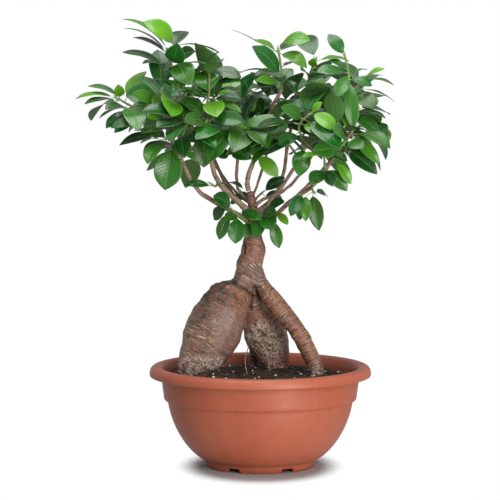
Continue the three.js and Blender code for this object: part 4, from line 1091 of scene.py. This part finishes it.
@dataclass
class Trunk:
    """Short neck over four swollen roots that stand on the soil.

    Attributes:
        grain: Size of the skin's quads.
        smoothing: Passes that round the facets off.
        crevice_passes: Passes that tell a hollow from a flat.
        crevice_depth: Depth of a full hollow, which gets the darkest painted shade.
        wrinkle: Height of the wrinkles that run round each limb.
        lump: Height of the wide lumps.
        cork_lump: Height of the lumps on corky and crusted bark.
        limbs: Middle lines of the neck and of the roots.
        nudges: Pushes that settle the outline.
        grooves: Creases and the hollow of the neck.
        crust: Places with a pale dry crust.
        cork: Places with rough corky bark.
        ruddy: Places with redder bark.
        sleek_sheen: Places with smooth, glossier bark, painted mauve as a sheen.
        seed: Start of the noise that the grooves wander by, above 0.
    """

    bowl: Bowl
    grain: float = 1.4 * MM
    smoothing: int = 9
    crevice_passes: int = 14
    crevice_depth: float = 1.3 * MM
    wrinkle: float = 0.6 * MM
    lump: float = 0.9 * MM
    cork_lump: float = 1.5 * MM
    limbs: tuple[Limb, ...] = (
        Limb(9, -1.0, ((-13, -1, 218), (-11, 0, 233), (-8, 0, 262), (-10, 1, 312))),
        Limb(27, 1.0, (
            (-15, -4, 222), (-33, -15, 198), (-50, -26, 164), (-63, -31, 134), (-80, -30, 107),
            (-86, -28, 79),
        )),
        Limb(18, 1.0, ((-12, 4, 205), (-6, 24, 172), (6, 36, 144), (15, 40, 122), (20, 42, 79))),
        Limb(6, 1.0, ((-6, 28, 164), (-7, 58, 132), (-7, 68, 79))),
        Limb(10, 1.0, (
            (-7, -3, 218), (10, -10, 195), (31, -15, 169), (53, -18, 135), (63, -18, 113), (69, -18, 79),
        )),
    )
    nudges: tuple[Nudge, ...] = (
        Nudge(-33.0, 222.0, 13.0, (1.5, -9.0)), Nudge(-46.0, 216.0, 14.0, (0.8, -6.0)),
        Nudge(-58.0, 205.0, 13.0, (1.6, -2.4)), Nudge(-68.0, 195.0, 13.0, (1.6, -1.4)),
        Nudge(-24.0, 231.0, 12.0, (-2.4, 0.0)), Nudge(-21.0, 253.0, 12.0, (-1.6, 0.0)),
        Nudge(4.7, 245.4, 12.0, (3.0, 0.0)), Nudge(2.2, 232.0, 8.0, (1.3, 0.0)),
        Nudge(7.6, 212.5, 13.0, (-2.8, -1.2)), Nudge(14.8, 204.0, 10.0, (-1.2, -0.7)),
        Nudge(30.0, 153.0, 9.0, (1.8, 0.9)), Nudge(36.0, 142.0, 9.0, (1.3, 0.6)),
        Nudge(43.0, 131.0, 9.0, (0.5, 0.2)), Nudge(54.7, 152.0, 9.0, (0.6, 0.3)),
        Nudge(-92.0, 131.0, 22.0, (-2.0, 0.0)), Nudge(-27.0, 146.0, 10.0, (1.6, 0.0)),
    )
    grooves: tuple[Groove, ...] = (
        Groove((
            (-34.0, 215.0), (-31.4, 213.0), (-23.6, 209.0), (-15.2, 204.0), (-9.6, 197.0), (-8.9, 189.0),
            (-12.0, 178.0),
        ), 3.4, 1.7),
        Groove(((-18.4, 251.5), (-18.6, 243.5)), 2.8, 4.2),
        Groove(((-6.6, 205.0), (-4.3, 197.0), (0.6, 187.0)), 2.8, 1.6),
        Groove(((-48.0, 197.0), (-42.0, 193.0)), 3.4, 2.4),
        Groove(((-30.0, 201.0), (-26.0, 195.0)), 2.6, 1.8),
    )
    crust: tuple[Spot, ...] = (
        Spot((-84, -44, 114), 16), Spot((-66, -50, 116), 14), Spot((-48, -48, 122), 9),
        Spot((66, -24, 106), 9),
        Spot((2, 16, 146), 15), Spot((14, 22, 134), 14), Spot((-8, 24, 140), 10), Spot((18, 24, 104), 10),
    )
    cork: tuple[Spot, ...] = (
        Spot((-50, -26, 203), 15), Spot((-38, -32, 197), 16), Spot((-24, -30, 193), 14),
        Spot((-14, -28, 180), 12), Spot((4, 20, 150), 14),
    )
    ruddy: tuple[Spot, ...] = (
        Spot((-8, -8, 256), 20), Spot((-8, -8, 284), 20), Spot((0, 14, 166), 14), Spot((28, 24, 110), 15),
        Spot((-14, -32, 186), 16), Spot((46, -22, 146), 24), Spot((16, -18, 186), 14),
    )
    # painted sheen: these smooth places are painted mauve where the bark shines
    sleek_sheen: tuple[Spot, ...] = (Spot((-30, -42, 160), 22), Spot((-40, -46, 132), 18))
    finish: Bark = field(default_factory=Bark)
    seed: int = 1

    def stretches(self) -> list[tuple[float, float, list[tuple[Vector, Vector, float, float]]]]:
        """Straight stretches of every limb, ready for measuring along them.

        Returns:
            Each limb's girth, its sense and its stretches: start, step, distance before it and length.
        """
        lines = []
        for limb in self.limbs:
            points = [self.bowl.at(*p) for p in limb.path]
            before = 0.0
            parts = []
            for start, end in zip(points, points[1:]):
                step = end - start
                parts.append((start, step, before, step.length))
                before += step.length
            lines.append((limb.girth * MM, limb.sense, parts))
        return lines

    @staticmethod
    def along(point: Vector, lines: list) -> float:
        """Measure how far a point lies from the fork along the limb it belongs to.

        Args:
            point: The point.
            lines: What stretches gives.

        Returns:
            The distance, negative up the neck and blended where limbs meet.
        """
        total = weight = 0.0
        for girth, sense, parts in lines:
            nearest, run = 1e9, 0.0
            for start, step, before, length in parts:
                away = point - start
                ahead = away.dot(step) / (length * length)
                share = min(max(ahead, 0.0), 1.0)
                gap = (away - step * share).length
                if gap < nearest:
                    nearest = gap
                    run = before + (ahead if before == 0.0 and ahead < 0.0 else share) * length
            pull = (girth / max(nearest, 1e-5)) ** 6
            total += pull * sense * run
            weight += pull
        return total / weight

    def mark(self, shape: bmesh.types.BMesh, name: str, spots: Sequence[Spot]) -> None:
        """Store how strongly each point belongs to a set of spots.

        Args:
            shape: The skin.
            name: The attribute's name.
            spots: The spots.
        """
        layer = shape.verts.layers.float.new(name)
        centres = [(self.bowl.at(*spot.place), spot.radius * MM) for spot in spots]
        for vert in shape.verts:
            depth = max(1.0 - (vert.co - centre).length / (1.5 * radius) for centre, radius in centres)
            ease = min(max(2.2 * depth, 0.0), 1.0)
            vert[layer] = ease * ease * (3 - 2 * ease)

    def settle(self, shape: bmesh.types.BMesh) -> None:
        """Push the outline into its final shape, place by place.

        Args:
            shape: The skin.
        """
        for vert in shape.verts:
            place = (vert.co - self.bowl.centre) / MM
            for nudge in self.nudges:
                gap = math.hypot(place.x - nudge.across, place.z - nudge.height) / nudge.radius
                if gap < 1.0:
                    share = (1.0 - gap * gap) ** 2
                    vert.co.x += nudge.push[0] * share * MM
                    vert.co.z += nudge.push[1] * share * MM

    def crumple(self, shape: bmesh.types.BMesh) -> None:
        """Raise the wrinkles, the wide lumps and the rough places of the bark.

        Args:
            shape: The skin, with its attributes.
        """
        layers = shape.verts.layers.float
        run, corky, crusty, sleek_sheen = (layers[name] for name in ("run", "cork", "crust", "sleek_sheen"))
        shape.normal_update()
        moves = []
        for vert in shape.verts:
            point = vert.co
            ring = noise.noise(Vector((point.x * 30, point.y * 30, vert[run] * 170)))
            crease = noise.noise(Vector((point.x * 45, point.z * 45, vert[run] * 380)))
            lump = noise.fractal(point * 34, 0.8, 2.0, 3)
            clump = noise.fractal(point * 150, 0.7, 2.0, 4)
            height = self.wrinkle * (0.6 * ring + 0.45 * crease) * (1.0 - 0.5 * vert[sleek_sheen])
            height += self.lump * 0.5 * lump
            height += self.cork_lump * clump * (vert[corky] + 0.55 * vert[crusty])
            moves.append((vert, vert.normal * height))
        for vert, move in moves:
            vert.co += move

    def carve(self, shape: bmesh.types.BMesh) -> None:
        """Cut the grooves into the front of the bark and mark them as crevices, which the bark paints dark as
        shade.

        Args:
            shape: The skin, with its crevices marked.
        """
        crevice_shade = shape.verts.layers.float["crevice_shade"]
        lines = [([Vector(p) for p in groove.path], groove) for groove in self.grooves]
        noise.seed_set(self.seed)
        shape.normal_update()
        moves = []
        for vert in shape.verts:
            if vert.normal.y > 0.3:
                continue
            place = (vert.co - self.bowl.centre) / MM
            flat = Vector((place.x, place.z)) + 1.2 * noise.noise_vector(place * 0.16).to_2d()
            for ends, groove in lines:
                gap = min(self.off_line(flat, a, b) for a, b in zip(ends, ends[1:])) / groove.radius
                if gap < 1.0:
                    share = (1.0 - gap * gap) ** 2
                    moves.append((vert, vert.normal * (-groove.depth * share * MM)))
                    # painted shade: the groove is marked to be painted dark, as if shade fell in it
                    vert[crevice_shade] = min(vert[crevice_shade] + 0.9 * share * share, 1.0)
        for vert, move in moves:
            vert.co += move

    @staticmethod
    def off_line(point: Vector, start: Vector, end: Vector) -> float:
        """Measure how far a flat point is from a straight stretch.

        Args:
            point: The point.
            start: One end of the stretch.
            end: Its other end.

        Returns:
            The distance.
        """
        step = end - start
        share = min(max((point - start).dot(step) / step.length_squared, 0.0), 1.0)
        return (point - start - step * share).length

    def build(self) -> bpy.types.Object:
        """Round off the CAD solid, settle its outline, wrinkle its skin and dress it.

        Returns:
            The trunk with its roots.
        """
        shape = skinned(merged_copy("trunk"), self.grain, self.smoothing)
        self.settle(shape)
        layer = shape.verts.layers.float.new("run")
        lines = self.stretches()
        for vert in shape.verts:
            vert[layer] = self.along(vert.co, lines)
        marks = {"crust": self.crust, "cork": self.cork, "ruddy": self.ruddy, "sleek_sheen": self.sleek_sheen}
        for name, spots in marks.items():
            self.mark(shape, name, spots)
        mark_crevices(shape, self.crevice_passes, self.crevice_depth)
        self.crumple(shape)
        self.carve(shape)
        shade_smooth(shape)
        trunk = link("trunk_and_roots", shape)
        present(trunk, "bark", self.finish.make(), "trunk")
        return trunk


@dataclass
class Branches:
    """Thin bare branches between the neck and the sprays."""

    grain: float = 0.75 * MM
    smoothing: int = 4
    crevice_passes: int = 6
    crevice_depth: float = 0.4 * MM
    ridge: float = 0.28 * MM
    finish: Bark = field(default_factory=Bark)

    def ridges(self, point: Vector) -> float:
        """Height of the rings and knots at a point."""
        ring = noise.noise(Vector((point.x * 60, point.y * 60, point.z * 260)))
        return self.ridge * (ring + 0.8 * noise.noise(point * 110))

    def build(self) -> list[bpy.types.Object]:
        """Round off and ring every branch.

        Returns:
            The branches.
        """
        material = self.finish.make_branch()
        made = []
        for node in sorted(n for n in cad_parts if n.startswith("branch_")):
            shape = skinned(merged_copy(node), self.grain, self.smoothing)
            mark_crevices(shape, self.crevice_passes, self.crevice_depth)
            push_out(shape, self.ridges)
            shade_smooth(shape)
            piece = link(node.replace("branch_", "wood_"), shape)
            present(piece, "bark", material, node)
            made.append(piece)
        return made


@dataclass
class AirRoots:
    """Fine air roots: two that hang down to the soil and a tangle of short ones on the middle root.

    Attributes:
        skin: The trunk and its roots, which the tangle lies on.
        rootlets: How many are tried in the tangle.
        rootlet_points: Points along each.
        rootlet_step: Distance between its points.
        tangle_across: Where they start, from left to right in millimetres.
        tangle_height: And from low to high.
        threads: Middle lines of the two, in millimetres from the bowl's foot.
    """

    bowl: Bowl
    skin: bpy.types.Object
    seed: int = 3
    rootlets: int = 26
    rootlet_points: int = 9
    rootlet_step: float = 3.0 * MM
    rootlet_radius: float = 0.42 * MM
    tangle_across: tuple[float, float] = (-16, 24)
    tangle_height: tuple[float, float] = (122, 160)
    thread_radius: float = 0.8 * MM
    threads: tuple[tuple[tuple[float, float, float], ...], ...] = (
        (
            (-12.0, 20.0, 136.0), (-15.0, 6.0, 130.0), (-18.0, -10.0, 122.0), (-16.0, -22.0, 112.0),
            (-13.0, -30.0, 101.0),
        ),
        (
            (-6.0, 18.0, 142.0), (0.0, 12.0, 139.0), (6.0, 8.0, 133.0), (9.0, 4.0, 122.0),
            (10.0, 0.0, 112.0), (10.5, -4.0, 101.0),
        ),
    )
    finish: RootThread = field(default_factory=RootThread)

    def tangle(self, shape: bmesh.types.BMesh) -> None:
        """Lay short rootlets on the skin of the middle root.

        Args:
            shape: Mesh that receives them.
        """
        skin = bmesh.new()
        skin.from_mesh(self.skin.data)
        tree = BVHTree.FromBMesh(skin)
        skin.free()
        rng = random.Random(self.seed)
        for _ in range(self.rootlets):
            start = self.bowl.at(rng.uniform(*self.tangle_across), -20, rng.uniform(*self.tangle_height))
            point = tree.ray_cast(start, Vector((0, 1, 0)))[0]
            if point is None or point.y < self.bowl.centre.y:
                continue
            way = Vector((rng.uniform(-1, 1), -0.2, rng.uniform(-1.2, 0.4)))
            points = []
            for _ in range(self.rootlet_points):
                seat, normal = tree.find_nearest(point)[:2]
                points.append(seat + normal * rng.uniform(0.1, 0.9) * MM)
                way = (way + Vector((rng.uniform(-0.5, 0.5), 0.0, rng.uniform(-0.5, 0.5)))).normalized()
                point = seat + way * self.rootlet_step
            radii = [self.rootlet_radius * (1.0 - 0.07 * i) for i in range(len(points))]
            wire(shape, points, radii, 5)

    def build(self) -> bpy.types.Object:
        """Draw the threads and the tangle.

        Returns:
            All the air roots.
        """
        shape = bmesh.new()
        for thread in self.threads:
            points = [self.bowl.at(*p) for p in thread]
            radii = [self.thread_radius - 0.06 * MM * i for i in range(len(points))]
            wire(shape, points, radii, 6)
        self.tangle(shape)
        bmesh.ops.remove_doubles(shape, verts=shape.verts, dist=0.01 * MM)
        bmesh.ops.recalc_face_normals(shape, faces=shape.faces)
        shade_smooth(shape)
        piece = link("air_roots", shape)
        finer = piece.modifiers.new("round", "SUBSURF")
        finer.levels = 1
        finer.render_levels = 1
        present(piece, "bark", self.finish.make())
        return piece


# ---- leaves ------------------------------------------------------------------------------


@dataclass(frozen=True)
class Blade:
    """One leaf blade as the CAD places it.

    Attributes:
        base: Where it meets its stalk.
        tip: Its tip.
        normal: Way its upper face looks.
        half: Half its greatest width.
        arch: Rise of its middle over its length.
        age: 0 for an old leaf, 1 for a young one.
    """

    base: Vector
    tip: Vector
    normal: Vector
    half: float
    arch: float
    age: float


@dataclass
class Crown:
    """Sprays of leaves: a fine glossy blade in the place of each CAD leaf, and a rounded skin on each shoot.

    Attributes:
        columns: Quads across a blade.
        rows: Quads along a blade.
        thickness: Thickness of a blade.
        plate: Thickness of a leaf in the CAD.
        ripple: Greatest height of the waves along a blade's edge.
        wing_rise: How steeply the two halves of a blade fold up.
        fullness: Power that rounds a blade's outline; less is fuller.
        shoot_grain: Size of the quads of a shoot's skin.
        shoot_smoothing: Passes that round a shoot off.
        old_belly: Broadest point along an old leaf in the CAD.
        young_belly: And along a young one.
    """

    seed: int = 5
    columns: int = 4
    rows: int = 7
    thickness: float = 0.45 * MM
    plate: float = 0.9 * MM
    ripple: float = 1.1 * MM
    wing_rise: float = 0.17
    fullness: float = 0.57
    shoot_grain: float = 0.5 * MM
    shoot_smoothing: int = 3
    old_belly: float = 0.54
    young_belly: float = 0.40
    leaf: LeafGreen = field(default_factory=LeafGreen)
    shoot: ShootGreen = field(default_factory=ShootGreen)

    def pairs(self, shape: bmesh.types.BMesh) -> list[tuple[bmesh.types.BMVert, bmesh.types.BMVert]]:
        """Find the middle points above and below each blade, one plate's thickness apart.

        Args:
            shape: Merged copy of a spray.

        Returns:
            The pairs.
        """
        shape.verts.ensure_lookup_table()
        tree = KDTree(len(shape.verts))
        for i, vert in enumerate(shape.verts):
            tree.insert(vert.co, i)
        tree.balance()
        found = []
        for i, vert in enumerate(shape.verts):
            around = {e.other_vert(vert) for e in vert.link_edges}
            for _, j, gap in tree.find_range(vert.co, self.plate * 1.02):
                other = shape.verts[j]
                shared = around & {e.other_vert(other) for e in other.link_edges}
                if j > i and gap > self.plate * 0.98 and len(shared) >= 6:
                    found.append((vert, other))
        return found

    def blade(
        self, pair: tuple[bmesh.types.BMVert, bmesh.types.BMVert]
    ) -> tuple[Blade, set[bmesh.types.BMVert]]:
        """Read a blade's place and shape from its corners.

        Args:
            pair: Its two middle points.

        Returns:
            The blade, and the corners that belong to it alone.
        """
        first, second = pair
        around = [{e.other_vert(v) for e in v.link_edges} for v in pair]
        ring = list(around[0] & around[1])
        joints = [(a.co - b.co).length for a in ring for b in ring if a is not b]
        least = min(joints)
        heel = next({a, b} for a in ring for b in ring if a is not b and (a.co - b.co).length == least)
        base = sum((v.co for v in heel), Vector()) / 2
        tip = max(ring, key=lambda v: (v.co - base).length)
        chord = tip.co - base
        normal = (first.co - second.co).normalized()
        upper = first
        if (first.co - base).dot(normal) < 0:
            normal.negate()
            upper = second
        edges = [v for v in ring if v not in heel and v is not tip]
        across = chord.normalized().cross(normal).normalized()
        half = max(abs((v.co - base).dot(across)) for v in edges) / 0.86
        belly = (upper.co - base).dot(chord) / chord.length_squared
        lift = (upper.co - base).dot(normal)
        arch = lift / (4 * chord.length * belly * (1 - belly))
        age = (self.old_belly - belly) / (self.old_belly - self.young_belly)
        blade = Blade(base, tip.co.copy(), normal, half, arch, min(max(age, 0.0), 1.0))
        return blade, {first, second, tip, *edges}

    def add_blade(self, sheet: bmesh.types.BMesh, blade: Blade, rng: random.Random, layers: dict) -> None:
        """Shape one leaf blade.

        Args:
            sheet: Mesh that receives the blade.
            blade: Where it goes.
            rng: Source of its small differences.
            layers: Attribute layers of the mesh.
        """
        made = bmesh.ops.create_grid(sheet, x_segments=self.columns, y_segments=self.rows, size=0.5)["verts"]
        chord = blade.tip - blade.base
        length = chord.length
        along = chord / length
        across = along.cross(blade.normal).normalized()
        up = across.cross(along)
        if up.dot(blade.normal) < 0:
            up.negate()
        peak = math.log(0.5) / math.log(rng.uniform(0.48, 0.56))
        phase = rng.uniform(0, 2 * math.pi)
        waves = rng.uniform(0.8, 1.6)
        ripple = self.ripple * rng.uniform(0.3, 1.0)
        curl = rng.uniform(-0.02, 0.05) * length
        tone = rng.random()
        for vert in made:
            side, run = 2 * vert.co.x, vert.co.y + 0.5
            share = math.copysign(abs(side) ** 0.8, side)
            width = blade.half * max(math.sin(math.pi * run**peak), 0.0) ** self.fullness
            width = max(width * (1 - 0.12 * max(run - 0.8, 0) / 0.2), 0.25 * MM)
            reach = share * width
            rise = self.wing_rise * abs(reach) * (1.15 - 0.3 * abs(share))
            bow = 4 * blade.arch * length * run * (1 - run)
            turn = 2 * math.pi * waves * run + phase + (1.9 if side > 0 else 0)
            wave = ripple * share * share * math.sin(turn) * math.sin(math.pi * run)
            droop = curl * max(run - 0.7, 0) ** 2 * 6
            vert.co = blade.base + along * (run * length) + across * reach + up * (rise + bow + wave - droop)
            vert[layers["leaf_side"]] = side
            vert[layers["leaf_run"]] = run
            vert[layers["leaf_age"]] = blade.age
            vert[layers["leaf_tone"]] = tone
            vert[layers["leaf_under"]] = 1.0
        faces = list({f for v in made for f in v.link_faces})
        lifted = bmesh.ops.extrude_face_region(sheet, geom=faces, use_keep_orig=True)["geom"]
        top = [g for g in lifted if isinstance(g, bmesh.types.BMVert)]
        bmesh.ops.translate(sheet, vec=up * self.thickness, verts=top)
        for vert in top:
            vert[layers["leaf_under"]] = 0.0
        shell = list({f for v in [*made, *top] for f in v.link_faces})
        bmesh.ops.recalc_face_normals(sheet, faces=shell)

    def build(self) -> list[bpy.types.Object]:
        """Make the leaves and the shoots of every spray.

        Returns:
            The leaves and the shoot of each spray in turn.
        """
        leaf, shoot = self.leaf.make(), self.shoot.make()
        made = []
        for number, node in enumerate(sorted(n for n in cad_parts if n.startswith("spray_"))):
            stem = merged_copy(node)
            rng = random.Random(self.seed + number)
            sheet = bmesh.new()
            names = ("leaf_side", "leaf_run", "leaf_age", "leaf_tone", "leaf_under")
            layers = {name: sheet.verts.layers.float.new(name) for name in names}
            spare = set()
            found = self.pairs(stem)
            for pair in found:
                blade, corners = self.blade(pair)
                self.add_blade(sheet, blade, rng, layers)
                spare |= corners
            bmesh.ops.delete(stem, geom=list(spare), context="VERTS")
            bmesh.ops.holes_fill(stem, edges=[e for e in stem.edges if e.is_boundary], sides=0)
            bmesh.ops.recalc_face_normals(stem, faces=stem.faces)
            shade_smooth(sheet)
            leaves = link(node.replace("spray_", "leaves_"), sheet)
            finer = leaves.modifiers.new("round", "SUBSURF")
            finer.levels = 1
            finer.render_levels = 1
            present(leaves, "leaf", leaf, node)
            skin = skinned(stem, self.shoot_grain, self.shoot_smoothing)
            shade_smooth(skin)
            shoots = link(node.replace("spray_", "shoot_"), skin)
            present(shoots, "leaf", shoot)
            LOG.info("%s: %d leaves", node, len(found))
            made += [leaves, shoots]
        return made


# ---- studio ------------------------------------------------------------------------------


@dataclass(frozen=True)
class Lamp:
    """Square lamp that faces the tree.

    Attributes:
        name: Its name.
        place: Where it hangs, in millimetres from the bowl's foot.
        size: Its side, in metres.
        power: Its power in watts.
        tint: Its colour.
    """

    name: str
    place: tuple[float, float, float]
    size: float
    power: float
    tint: RGB


@dataclass
class Studio:
    """Grey floor that fades out round the foot as a painted shadow, soft light from a bright room and three
    large lamps, and the camera.

    Attributes:
        lens: Focal length, in millimetres of film.
        film: Width of the film, in millimetres.
        stand_back: Distance of the camera, in millimetres like the next four.
        eye_height: Its height.
        aim_height: Height that it looks at.
        sideways: How far it stands to one side of the bowl's middle.
        lamp_aim: Height that the lamps look at.
        floor_radius: Radius of the floor, in metres like the next two.
        floor_solid: How far from the bowl's middle the floor starts to fade out.
        floor_fade: Where it has faded out.
        floor_squeeze: Share of a distance that counts to the front and back, where the floor and its painted
            shadow reach further.
        shadow_grey: Shade of the floor, grey as a painted shadow round the foot.
        shade: Brightness of the room's light.
    """

    bowl: Bowl
    lens: float = 257.05
    film: float = 36.0
    stand_back: float = 4000.0
    eye_height: float = 645.0
    aim_height: float = 245.4
    sideways: float = -11.6
    lamp_aim: float = 260.0
    floor_radius: float = 1.2
    floor_solid: float = 0.066
    floor_fade: float = 0.098
    floor_squeeze: float = 0.70
    shadow_grey: float = 0.46
    shade: float = 0.48
    lamps: tuple[Lamp, ...] = (
        Lamp("key_lamp", (900, -2500, 950), 1.2, 36.0, (1.0, 0.98, 0.95)),
        Lamp("low_lamp", (1400, -2300, -250), 1.0, 52.0, (1.0, 0.97, 0.94)),
        Lamp("top_lamp", (-100, -100, 2000), 1.4, 36.0, (1.0, 1.0, 1.0)),
    )

    def floor(self) -> bpy.types.Object:
        """Lay a grey floor under the bowl that fades out into the bright room, a painted shadow round the
        foot on which the lamps also cast theirs.

        Returns:
            The floor.
        """
        shape = bmesh.new()
        bmesh.ops.create_circle(shape, cap_ends=True, segments=96, radius=self.floor_radius)
        bmesh.ops.translate(shape, vec=(0, 0, self.bowl.centre.z - 0.2 * MM), verts=shape.verts)
        floor = link("floor", shape)
        s = Shader("floor_shadow_disc")
        # painted shadow: the grey disc that fades out round the foot stands in for the shadow under the bowl
        painted_shadow = s.node("ShaderNodeBsdfDiffuse", {}, {"Color": (*[self.shadow_grey] * 3, 1.0)})
        air = s.node("ShaderNodeBsdfTransparent", {}, {})
        away = (s.place() - self.bowl.centre).stretched((1.0, self.floor_squeeze, 1.0)).distance()
        faded = away.ramp(self.floor_solid, self.floor_fade)
        mixed = s.node("ShaderNodeMixShader", {}, {0: faded, 1: painted_shadow, 2: air})
        s.node("ShaderNodeOutputMaterial", {}, {"Surface": mixed})
        floor.data.materials.append(s.material)
        return floor

    def hang(self, lamp: Lamp) -> None:
        """Hang a lamp.

        Args:
            lamp: The lamp.
        """
        data = bpy.data.lights.new(lamp.name, "AREA")
        data.shape = "SQUARE"
        data.size = lamp.size
        data.energy = lamp.power
        data.color = lamp.tint
        hung = bpy.data.objects.new(lamp.name, data)
        hung.location = self.bowl.at(*lamp.place)
        ahead = self.bowl.at(0, 0, self.lamp_aim) - hung.location
        hung.rotation_euler = ahead.to_track_quat("-Z", "Y").to_euler()
        bpy.context.scene.collection.objects.link(hung)

    def room(self) -> None:
        """Fill the room with even white light, in front of a white backdrop."""
        world = bpy.data.worlds.new("room")
        world.use_nodes = True
        tree = world.node_tree
        walls = tree.nodes["Background"]
        walls.inputs["Color"].default_value = (1.0, 1.0, 1.0, 1.0)
        walls.inputs["Strength"].default_value = self.shade
        backdrop = tree.nodes.new("ShaderNodeBackground")
        backdrop.inputs["Color"].default_value = (1.0, 1.0, 1.0, 1.0)
        backdrop.inputs["Strength"].default_value = 1.0
        seen = tree.nodes.new("ShaderNodeLightPath")
        share = tree.nodes.new("ShaderNodeMixShader")
        tree.links.new(seen.outputs["Is Camera Ray"], share.inputs[0])
        tree.links.new(walls.outputs[0], share.inputs[1])
        tree.links.new(backdrop.outputs[0], share.inputs[2])
        tree.links.new(share.outputs[0], tree.nodes["World Output"].inputs["Surface"])
        bpy.context.scene.world = world

    def camera(self) -> None:
        """Set the camera in front of the tree, a little above it."""
        data = bpy.data.cameras.new("camera")
        data.lens = self.lens
        data.sensor_width = self.film
        data.clip_end = 30.0
        camera = bpy.data.objects.new("camera", data)
        camera.location = self.bowl.at(self.sideways, -self.stand_back, self.eye_height)
        pitch = math.atan2(self.eye_height - self.aim_height, self.stand_back)
        camera.rotation_euler = (math.pi / 2 - pitch, 0.0, 0.0)
        bpy.context.scene.collection.objects.link(camera)
        bpy.context.scene.camera = camera

    def build(self) -> None:
        """Set up everything round the tree."""
        self.floor()
        self.room()
        for lamp in self.lamps:
            self.hang(lamp)
        self.camera()
        bpy.context.scene.view_settings.view_transform = "Standard"


# ---- assembly ----------------------------------------------------------------------------


def main() -> None:
    """Build every piece in order and note the sizes."""
    logging.basicConfig(level=logging.INFO, format="%(name)s %(message)s")
    bowl = Bowl()
    bowl.build()
    Soil(bowl).build()
    trunk = Trunk(bowl).build()
    Branches().build()
    AirRoots(bowl, trunk).build()
    Crown().build()
    Studio(bowl).build()


if __name__ == "__main__":
    main()
